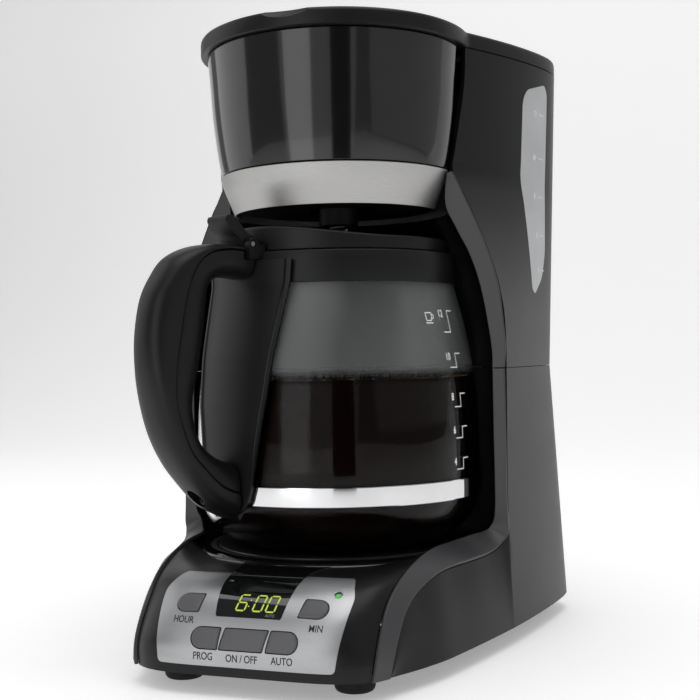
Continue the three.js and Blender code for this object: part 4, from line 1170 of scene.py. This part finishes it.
NOTCH_PLACE = (0, -76, 331)
NOTCH_RADII = (30, 15, 15)
BARREL_RADIUS = 4.7
PIN_ROOM = 2.0
LUGS_AT = 42
LUG_ROOM_HALF = 3.5
notch = bmesh.new()
notch_shape = Matrix.Translation(NOTCH_PLACE) @ Matrix.Diagonal((*NOTCH_RADII, 1))
bmesh.ops.create_uvsphere(notch, u_segments=64, v_segments=40, radius=1, matrix=notch_shape)
front_part = worked(lid_solid(), trim=[block(-110, 110, -90, HINGE.y, 300, 330)])
barrel = worked(rod(HINGE, BARREL_RADIUS, -104, 104), trim=[lid_solid()])
lug_rooms = [
    block(x - LUG_ROOM_HALF, x + LUG_ROOM_HALF, HINGE.y - 6, 140, 300, 330) for x in (-LUGS_AT, LUGS_AT)
]
cover = worked(front_part, join=[barrel], cut=[*lug_rooms, rod(HINGE, PIN_ROOM, -50, 50), notch])
put("lid_cover", cover, satin_black, "lid", "satin_black", "lid", edge=0.35, steps=2, smooth=30)
keep("shower_plate", inner_plastic)


# ---------------------------------------------------------------- jug glass, level marks and coffee
# A blown borosilicate jug, 2.4 mm thick, with a fire-rounded lip. Cup numbers and brackets are printed on it
# in white. It is shown a little over half full of coffee, with a ring of bubbles left from brewing.
JUG_TURN = -25.0
GLASS_WALL = 2.4
# Heights where the glass turns rough above the coffee and its painted grey reflection fades in.
SHEEN_FROM, SHEEN_FULL = 140.5, 146.0
GLASS_LINE = [
    (0, 52.4), (26, 52.4), (50, 52.6), (60, 55.4), (68, 62), (73.5, 71), (75.9, 83), (76, 107), (75.1, 128),
    (72.6, 149), (68.4, 170), (63.2, 190), (61.6, 197), (61.4, 203),
]
glass_outside = through(GLASS_LINE, 7)


def set_in(line, depth):
    """A (radius, height) line moved in by a depth; a point on the axis stays on it."""
    moved = []
    for i, (radius, height) in enumerate(line):
        ahead = line[min(i + 1, len(line) - 1)] - line[max(i - 1, 0)]
        inward = Vector((-ahead.y, ahead.x)).normalized() * depth
        moved.append((max(radius + inward.x, 0.0) if radius else 0.0, height + inward.y))
    return moved


def blown_glass():
    """Clear glass. Above the coffee it is rougher, and a grey layer in upright streaks is mixed in there as
    painted reflection.
    """
    finish = Finish("blown_glass", Transmission_Weight=1.0, IOR=1.17)
    film = noise(finish, 40, 3)
    height = finish.node("ShaderNodeSeparateXYZ", {}, {0: finish.place}, "Z")
    limits = {"Value": height, "From Min": SHEEN_FROM * MM, "From Max": SHEEN_FULL * MM}
    above_coffee = finish.node("ShaderNodeMapRange", {"clamp": True}, limits)
    fine_mottle = noise(finish, 0.9, 3)
    finish.set(
        Base_Color=mixed(finish, film, (0.98, 0.985, 0.985), (0.94, 0.95, 0.95)),
        Roughness=above_coffee * (film * 0.12 + fine_mottle * 0.06 + 0.2) + film * 0.02,
        Normal=bump(finish, noise(finish, 30, 2), 0.05),
    )
    # Painted reflection: a grey diffuse layer, streaked upright and mixed in above the coffee, stands in for
    # the grey reflection of the studio on the upper glass.
    water = {"Base Color": (0.62, 0.64, 0.64, 1), "Roughness": 0.45}
    painted_reflection = finish.node("ShaderNodeBsdfPrincipled", {}, water, "BSDF")
    upright = finish.node("ShaderNodeMapping", {}, {"Vector": finish.place, "Scale": (1, 1, 0.3)})
    reflection_streaks = noise(finish, 34, 2, 0.4, upright)
    share = above_coffee * (reflection_streaks * 0.2 + fine_mottle * 0.02 - 0.02)
    clear = Wire(finish, finish.surface.outputs["BSDF"])
    both = finish.node("ShaderNodeMixShader", {}, {0: share, 1: clear, 2: painted_reflection})
    finish.feed(finish.tree.nodes["Material Output"].inputs["Surface"], both)
    return finish.material


LIP = [(60.9, 203.5), (60.2, 203.65), (59.5, 203.5)]
glass_line = glass_outside + LIP + set_in(glass_outside, GLASS_WALL)[::-1]
jug = turned(glass_line, steps=160)
put("jug_glass", jug, blown_glass(), "carafe", "jug_glass", "carafe_glass", smooth=60)


def onto_glass(bm, bearing, height):
    """Wraps a flat shape round the glass, with its origin at a bearing from the front, in degrees."""
    wall = [(z, radius) for radius, z in glass_outside[14:]]
    for vert in bm.verts:
        z = height + vert.co.y
        radius = reading(wall, z) + ON_FRONT + vert.co.z
        angle = math.radians(bearing) + vert.co.x / radius
        vert.co = (radius * math.sin(angle), -radius * math.cos(angle), z)
    return bm


def stroke(bm, start, end, width=0.55, cuts=8):
    """A straight printed line as a thin slab, cut across so that it can follow the glass."""
    start, end = Vector(start), Vector(end)
    along = end - start
    side = Vector((-along.y, along.x)).normalized() * width / 2
    made = bmesh.ops.create_grid(bm, x_segments=cuts, y_segments=1, size=0.5)["verts"]
    for vert in made:
        point = start + along * (vert.co.x + 0.5) + side * (2 * vert.co.y)
        vert.co = (point.x, point.y, 0)
    return bm


MARKS_AT = 76.5
LEVELS = {
    "12": (162.4, 173.4), "10": (144.4, 151.4), "8": (124.4, 131), "6": (108.6, 114.2), "4": (92.8, 98.2),
}
for number, (low, high) in LEVELS.items():
    bracket = bmesh.new()
    stroke(bracket, (0, 0), (0, high - low))
    stroke(bracket, (-0.27, high - low), (5.4, high - low))
    stroke(bracket, (-6.2, 0), (0.27, 0))
    put(f"cup_bracket_{number}", onto_glass(bracket, MARKS_AT, low), white_ink, "carafe", "jug_glass")
    figure = onto_glass(lettering(number, 5.2, 0.08), MARKS_AT - 5.6, high - 1.6)
    put(f"cup_number_{number}", figure, white_ink, "carafe", "jug_glass", smooth=20)
cup = bmesh.new()
for start, end in (
    ((-2.4, 4.6), (-2.0, 0.6)), ((-2.0, 0.6), (1.6, 0.6)), ((1.6, 0.6), (2.0, 4.6)),
    ((2.0, 4.6), (-2.4, 4.6)), ((1.9, 3.9), (3.5, 3.5)), ((3.5, 3.5), (3.2, 1.8)), ((3.2, 1.8), (1.7, 1.6)),
    ((-2.8, -0.6), (2.6, -0.6)),
):
    stroke(cup, start, end, 0.5, 4)
put("cup_sign", onto_glass(cup, MARKS_AT - 13.5, 167.6), white_ink, "carafe", "jug_glass")

COFFEE_LEVEL = 138.2
GLASS_GAP = 0.08
inside = [point for point in set_in(glass_outside, GLASS_WALL + GLASS_GAP) if point[1] < COFFEE_LEVEL]
edge_radius = inside[-1][0]
MENISCUS = [(0.0, 1.3), (0.15, 0.9), (0.5, 0.45), (1.3, 0.12), (3.0, 0.0)]
surface = [(edge_radius - drawn, COFFEE_LEVEL + rise) for drawn, rise in MENISCUS]
coffee_line = inside + surface + [(0, COFFEE_LEVEL)]
black_coffee = clouded(
    "coffee", (26, 3), (0.0022, 0.0009, 0.0005), (0.0065, 0.0020, 0.0008), (0.06, 0.05),
    Specular_IOR_Level=0.05,
).material
put("coffee", turned(coffee_line, steps=160), black_coffee, "carafe", "smoked_window", smooth=50)


def scatter(number):
    """A fixed fraction for a number, evenly spread."""
    return math.sin(number * 12.9898) * 43758.5453 % 1.0


foam = bmesh.new()
BUBBLES = 190
for number in range(BUBBLES):
    size = 0.45 + 0.75 * scatter(number) ** 2
    angle = math.tau * (number + scatter(number + 900)) / BUBBLES
    reach = edge_radius - size - 0.15 - 1.6 * scatter(number + 400) ** 2
    place = Vector((reach * math.cos(angle), reach * math.sin(angle), COFFEE_LEVEL + 0.35 + 0.3 * size))
    bmesh.ops.create_icosphere(foam, subdivisions=2, radius=size, matrix=Matrix.Translation(place))
coffee_foam = clouded(
    "coffee_foam", (1.5, 2), (0.16, 0.075, 0.03), (0.55, 0.4, 0.26), (0.1, 0.1),
    Coat_Weight=0.5, Transmission_Weight=0.35, IOR=1.2,
).material
put("coffee_bubbles", foam, coffee_foam, "carafe", "smoked_window", smooth=80)


# ---------------------------------------------------------------- jug band and collar
# A polished chromium-plated strap pulled round the glass, and the satin black collar that clamps its neck.
# Two lugs on the collar carry the lid's steel pin.
polished_chrome = clouded(
    "polished_chrome", (18, 3), (0.66, 0.66, 0.67), (0.8, 0.8, 0.81), (0.04, 0.06), Metallic=1.0,
).material
STRAP = [
    (76.4, 78), (77.2, 78), (77.4, 78.4), (77.45, 82.9), (77.4, 87.4), (77.2, 87.8), (76.4, 87.8), (76.4, 78),
]
put("jug_strap", turned(STRAP, steps=160), polished_chrome, "carafe", "chrome", "carafe_band", smooth=25)
PIN_LINE = Vector((0, -69.6, 207.6))
PIN_HOLE = 1.7
COLLAR = [
    (64.4, 188), (65.6, 188), (65.6, 199), (64.6, 204), (62.1, 204), (62.1, 198), (63, 194), (64.4, 190.5),
    (64.4, 188),
]
lugs = []
for x in (-13, 9):
    lugs += [block(x, x + 4, PIN_LINE.y - 2.9, -62.4, 200, PIN_LINE.z), rod(PIN_LINE, 2.95, x, x + 4)]
collar = worked(
    turned(rounded(COLLAR, 0.8), steps=128), join=lugs,
    cut=[rod(PIN_LINE, PIN_HOLE, -20, 20), cylinder(62.0, 180, 220, sides=128)],
)
put(
    "jug_collar", collar, satin_black, "carafe", "satin_black", "carafe_collar",
    edge=0.3, smooth=30, turn=JUG_TURN,
)
pin = rod(PIN_LINE, 1.35, -12.5, 12.5)
put("jug_lid_pin", pin, screw_steel, "carafe", "plated_steel", "carafe_lid_pin", edge=0.25, turn=JUG_TURN)


# ---------------------------------------------------------------- jug lid
# A dished satin black lid, moulded with the lever that a thumb presses to tip it. Its rim climbs towards the
# handle, and a steel pin holds it between the collar's lugs.
JUG_LID = [
    (5, 206), (40, 207.5), (56, 207.5), (57, 210.5), (60.6, 211.5), (61.6, 210.5), (61.6, 204.6), (58, 204.4),
    (54, 203), (5, 203.6), (5, 206),
]
LEVER = [
    (-56, 205), (-61, 209.8), (-66, 211.6), (-70, 213.4), (-76, 219.6), (-79, 221.8), (-82, 221.9),
    (-83.2, 219.4), (-79, 213.6), (-74, 210.4), (-72.6, 206), (-68, 204.7), (-61.4, 204.7),
]
RIM_CLIMB = 6.0
RIM_FROM = 208.4
CLIMB_WITHIN = math.radians(75)
dish = turned(rounded(JUG_LID, 0.7), steps=128)
for vert in dish.verts:
    bearing = abs(math.atan2(vert.co.x, -vert.co.y)) / CLIMB_WITHIN
    if vert.co.z > RIM_FROM and bearing < 1:
        vert.co.z += RIM_CLIMB * (1 - bearing * bearing * (3 - 2 * bearing))
lever = from_side(prism(eased(LEVER, 2.2), -8.4, 8.4))
TAPER_FROM, TAPER_LENGTH, TAPER = -76, 7, 0.16
for vert in lever.verts:
    if vert.co.y < TAPER_FROM:
        vert.co.x *= 1 - TAPER * ((vert.co.y - TAPER_FROM) / TAPER_LENGTH) ** 2
jug_lid = worked(dish, join=[lever], cut=[rod(PIN_LINE, PIN_HOLE, -20, 20)])
put(
    "jug_lid", jug_lid, satin_black, "carafe_lid", "satin_black", "carafe_lid",
    edge=0.9, smooth=30, turn=JUG_TURN,
)


# ---------------------------------------------------------------- handle
# A satin black shield lies against the glass, with a raised rib down both edges. The handle on it is two
# mouldings that meet in a line down its side: the outer shell and the inner grip.
SHIELD = [(75, 80.5), (96, 80.5), (126, 79.6), (152, 76.4), (180, 70.6), (188, 69), (199.6, 69)]
SHIELD_HALF = [(75, 14), (86, 17.5), (130, 25), (165, 28), (203, 31)]
SHIELD_LOW, SHIELD_HIGH = 75.0, 199.6
SHIELD_CORNER = 6.0
RIB_RISE = 0.9
RIB_FROM = 0.9  # the share of the half width at which the rib starts


def shield_point(u, v):
    """A point of the shield: round with the glass, its foot's corners round, a rib along each side."""
    height = SHIELD_LOW + v * (SHIELD_HIGH - SHIELD_LOW)
    half = reading(SHIELD_HALF, height)
    below = SHIELD_LOW + SHIELD_CORNER - height
    if below > 0:
        half -= SHIELD_CORNER - math.sqrt(max(SHIELD_CORNER ** 2 - below ** 2, 0.0))
    radius = reading(SHIELD, height) - RIB_RISE
    side = 2 * u - 1
    rib = min(max((abs(side) - RIB_FROM) / 0.03, 0.0), 1.0)
    angle = math.asin(side * half / radius)
    radius += 0.85 * rib * rib * (3 - 2 * rib)
    return Vector((radius * math.sin(angle), -radius * math.cos(angle), height))


shield = grid(bmesh.new(), 90, 90, shield_point)
put(
    "handle_mount", shield, satin_black, "carafe", "satin_black", "handle_shield",
    wall=1.7, edge=0.35, smooth=45, turn=JUG_TURN,
)

PARTING_GAP = 0.17
SCREW_HEIGHT = 83
HANDLE = [
    ((66, 206), (66, 203.5), (66, 190)), ((82, 207), (82, 204.6), (80, 191)),
    ((97, 206.2), (95, 202.4), (88, 190)), ((111, 200.5), (104, 195.5), (93, 186)),
    ((119.5, 191.5), (108.5, 186.5), (94.6, 180)),
    ((126, 180), (111.5, 176), (95.4, 172)), ((129.3, 163), (114.5, 161), (97, 160)),
    ((129, 147), (117, 147), (99.6, 147)), ((126.4, 132), (117.8, 134), (103.4, 133)),
    ((121, 114), (115.2, 121.5), (103.8, 122)), ((113, 100), (109.5, 107.5), (100, 111)),
    ((104, 88.8), (101, 98), (92, 104)), ((93, 78), (90, 88.5), (82, 100)), ((80, 71.4), (78, 84), (72, 98)),
]
outer_line, parting_line, grip_line = (through([row[i] for row in HANDLE], 7) for i in range(3))


def grip_section():
    """Half widths and depths of a section: flat at 0, where the halves meet, and round at 1."""
    roundness = 2.5
    section = [(-0.95, 0), (-0.6, 0), (-0.2, 0), (0.2, 0), (0.6, 0), (0.95, 0), (1, 0.05)]
    for i in range(25):
        angle = math.pi * i / 24
        across = math.copysign(abs(math.cos(angle)) ** (2 / roundness), math.cos(angle))
        section.append((across, 0.22 + 0.78 * math.sin(angle) ** (2 / roundness)))
    return section + [(-1, 0.05)]


def handle_half(round_line, half):
    """One moulding of the handle, from just beside the parting line to its own round side."""
    loops = []
    for flat, far in zip(parting_line, round_line):
        start = flat + (far - flat).normalized() * PARTING_GAP
        loops.append([])
        for across, out in grip_section():
            point = start + (far - start) * out
            loops[-1].append((across * half, -point.x, point.y))
    return worked(skinned(loops), cut=handle_room())


def on_screw_line(bm, forward=0):
    """Lays an upright shape along the band screw's line, which runs forward through the handle's foot."""
    bmesh.ops.translate(from_front(bm), verts=bm.verts, vec=(0, forward, SCREW_HEIGHT))
    return bm


def handle_room():
    """What the shield, the lid's lever and the band's screw take out of the handle's halves."""
    beside = [(radius + 0.3, height) for height, radius in SHIELD]
    clear = [(0, 60), (80.8, 60)] + beside + [(69.3, 214), (0, 214)]
    rooms = [turned(clear, steps=128), block(-14, 14, -75, -55, 199.6, 215)]
    for radius, near in ((2.3, -79), (4.4, -92)):
        rooms.append(on_screw_line(cylinder(radius, 0, 40, 32), near))
    return rooms


for name, line, half, node in (
    ("handle_outer", outer_line, 12.0, "handle_shell"), ("handle_inner", grip_line, 11.5, "handle_insert"),
):
    shape = handle_half(line, half)
    put(name, shape, satin_black, "carafe", "satin_black", node, edge=0.3, smooth=38, turn=JUG_TURN)

SCREW = [(0, 94.8), (3.0, 94.5), (3.8, 93.6), (3.8, 92.2), (2.0, 92.2), (2.0, 81.2), (0, 81.2)]
band_screw = on_screw_line(turned(rounded(SCREW, 0.3), steps=40))
slots = [block(-2.4, 2.4, -96, -93.9, 82.6, 83.4), block(-0.4, 0.4, -96, -93.9, 80.6, 85.4)]
blackened_steel = plated("blackened_steel", (0.03, 0.03, 0.032), 0.35)
screw = worked(band_screw, cut=slots)
put("strap_screw", screw, blackened_steel, "carafe", "plated_steel", "band_screw", turn=JUG_TURN)


# ---------------------------------------------------------------- studio
# A plain pale floor and backdrop, soft boxes and a camera.
def soft_box(name, place, aim_height, size, power):
    """A rectangular soft light, turned to a height on the machine's axis, and not seen itself."""
    light = bpy.data.lights.new(name, "AREA")
    light.shape = "RECTANGLE"
    light.size, light.size_y = size
    light.energy = power
    lamp = linked(name, light)
    lamp.location = place
    lamp.rotation_euler = (Vector((0, 0, aim_height)) - Vector(place)).to_track_quat("-Z", "Y").to_euler()
    lamp.visible_camera = False


world = bpy.data.worlds.new("studio")
world.use_nodes = True
sky = world.node_tree.nodes["Background"]
sky.inputs["Color"].default_value = (1, 1, 1, 1)
sky.inputs["Strength"].default_value = 0.2
nodes, links = world.node_tree.nodes, world.node_tree.links
seen, path, choose = (nodes.new("ShaderNode" + kind) for kind in ("Background", "LightPath", "MixShader"))
seen.inputs["Color"].default_value = (0.93, 0.93, 0.93, 1)
for source, target in (
    (path.outputs["Is Camera Ray"], choose.inputs[0]), (sky.outputs[0], choose.inputs[1]),
    (seen.outputs[0], choose.inputs[2]), (choose.outputs[0], nodes["World Output"].inputs[0]),
):
    links.new(source, target)
bpy.context.scene.world = world
bpy.context.scene.view_settings.view_transform = "Standard"
BEND_FROM, BEND_RADIUS = 1.0, 0.9


def backdrop_point(u, v):
    """A sweep of pale paper, in metres: level under the machine, then bent up well behind it."""
    reach = -2.5 + 5.5 * v
    bend = min(max((reach - BEND_FROM) / BEND_RADIUS, 0.0), 1.0) * math.pi / 2
    rise = BEND_RADIUS * (1 - math.cos(bend)) + max(reach - BEND_FROM - BEND_RADIUS, 0.0) * 2
    return Vector((5 * (u - 0.5), min(reach, BEND_FROM) + BEND_RADIUS * math.sin(bend), rise))


def staged(name, bm, finish):
    """A thing of the studio, drawn in metres, that is no part of the machine."""
    mesh = bpy.data.meshes.new(name)
    bm.to_mesh(mesh)
    bm.free()
    mesh.materials.append(finish.material)
    thing = linked(name, mesh)
    return thing


paper = Finish(
    "backdrop_paper", Base_Color=(0.93, 0.93, 0.93, 1), Roughness=0.7,
    Emission_Color=(1, 1, 1, 1), Emission_Strength=0.3,
)
staged("floor", grid(bmesh.new(), 2, 110, backdrop_point), paper).data.shade_smooth()


def round_the_front(bearing, distance, height):
    """A place at a bearing from the front, positive to the right, in metres."""
    angle = math.radians(bearing)
    return (distance * math.sin(angle), -distance * math.cos(angle), height)


soft_box("front", round_the_front(4, 1.0, 0.42), 0.2, (1.3, 1.1), 1.6)
soft_box("core", round_the_front(-13, 0.96, 0.40), 0.2, (0.4, 1.0), 1.5)
soft_box("right", round_the_front(88, 1.5, 0.8), 0.2, (2.6, 1.5), 2.8)
soft_box("far_left", round_the_front(-88, 1.3, 0.7), 0.2, (1.2, 1.3), 4)
soft_box("top", (0.1, -0.1, 1.7), 0.1, (1.6, 1.6), 15)

FLAG_BEARING = 24
cloth = Finish("flag_cloth", Base_Color=(0.01, 0.01, 0.01, 1), Roughness=0.9)
flag = staged("black_flag", block(-0.13, 0.13, -0.005, 0.005, -0.55, 0.55), cloth)
flag.location = round_the_front(FLAG_BEARING, 0.88, 0.56)
flag.rotation_euler = (0, 0, math.radians(FLAG_BEARING))
flag.visible_camera = False

CAMERA_PLACE = Vector((225.886, -613.494, 152.071)) * MM
YAW, PITCH, ROLL = (math.radians(angle) for angle in (19.5995, -0.19094, -1.02256))
forward = Vector((-math.sin(YAW) * math.cos(PITCH), math.cos(YAW) * math.cos(PITCH), -math.sin(PITCH)))
level = Vector((math.cos(YAW), math.sin(YAW), 0))
upright = level.cross(forward)
right = level * math.cos(ROLL) + upright * math.sin(ROLL)
up = upright * math.cos(ROLL) - level * math.sin(ROLL)
view = bpy.data.cameras.new("camera")
view.sensor_width = 36.0
view.lens = 61.72
camera = linked("camera", view)
facing = Matrix((right, up, -forward)).transposed().to_4x4()
camera.matrix_world = Matrix.Translation(CAMERA_PLACE) @ facing
bpy.context.scene.camera = camera
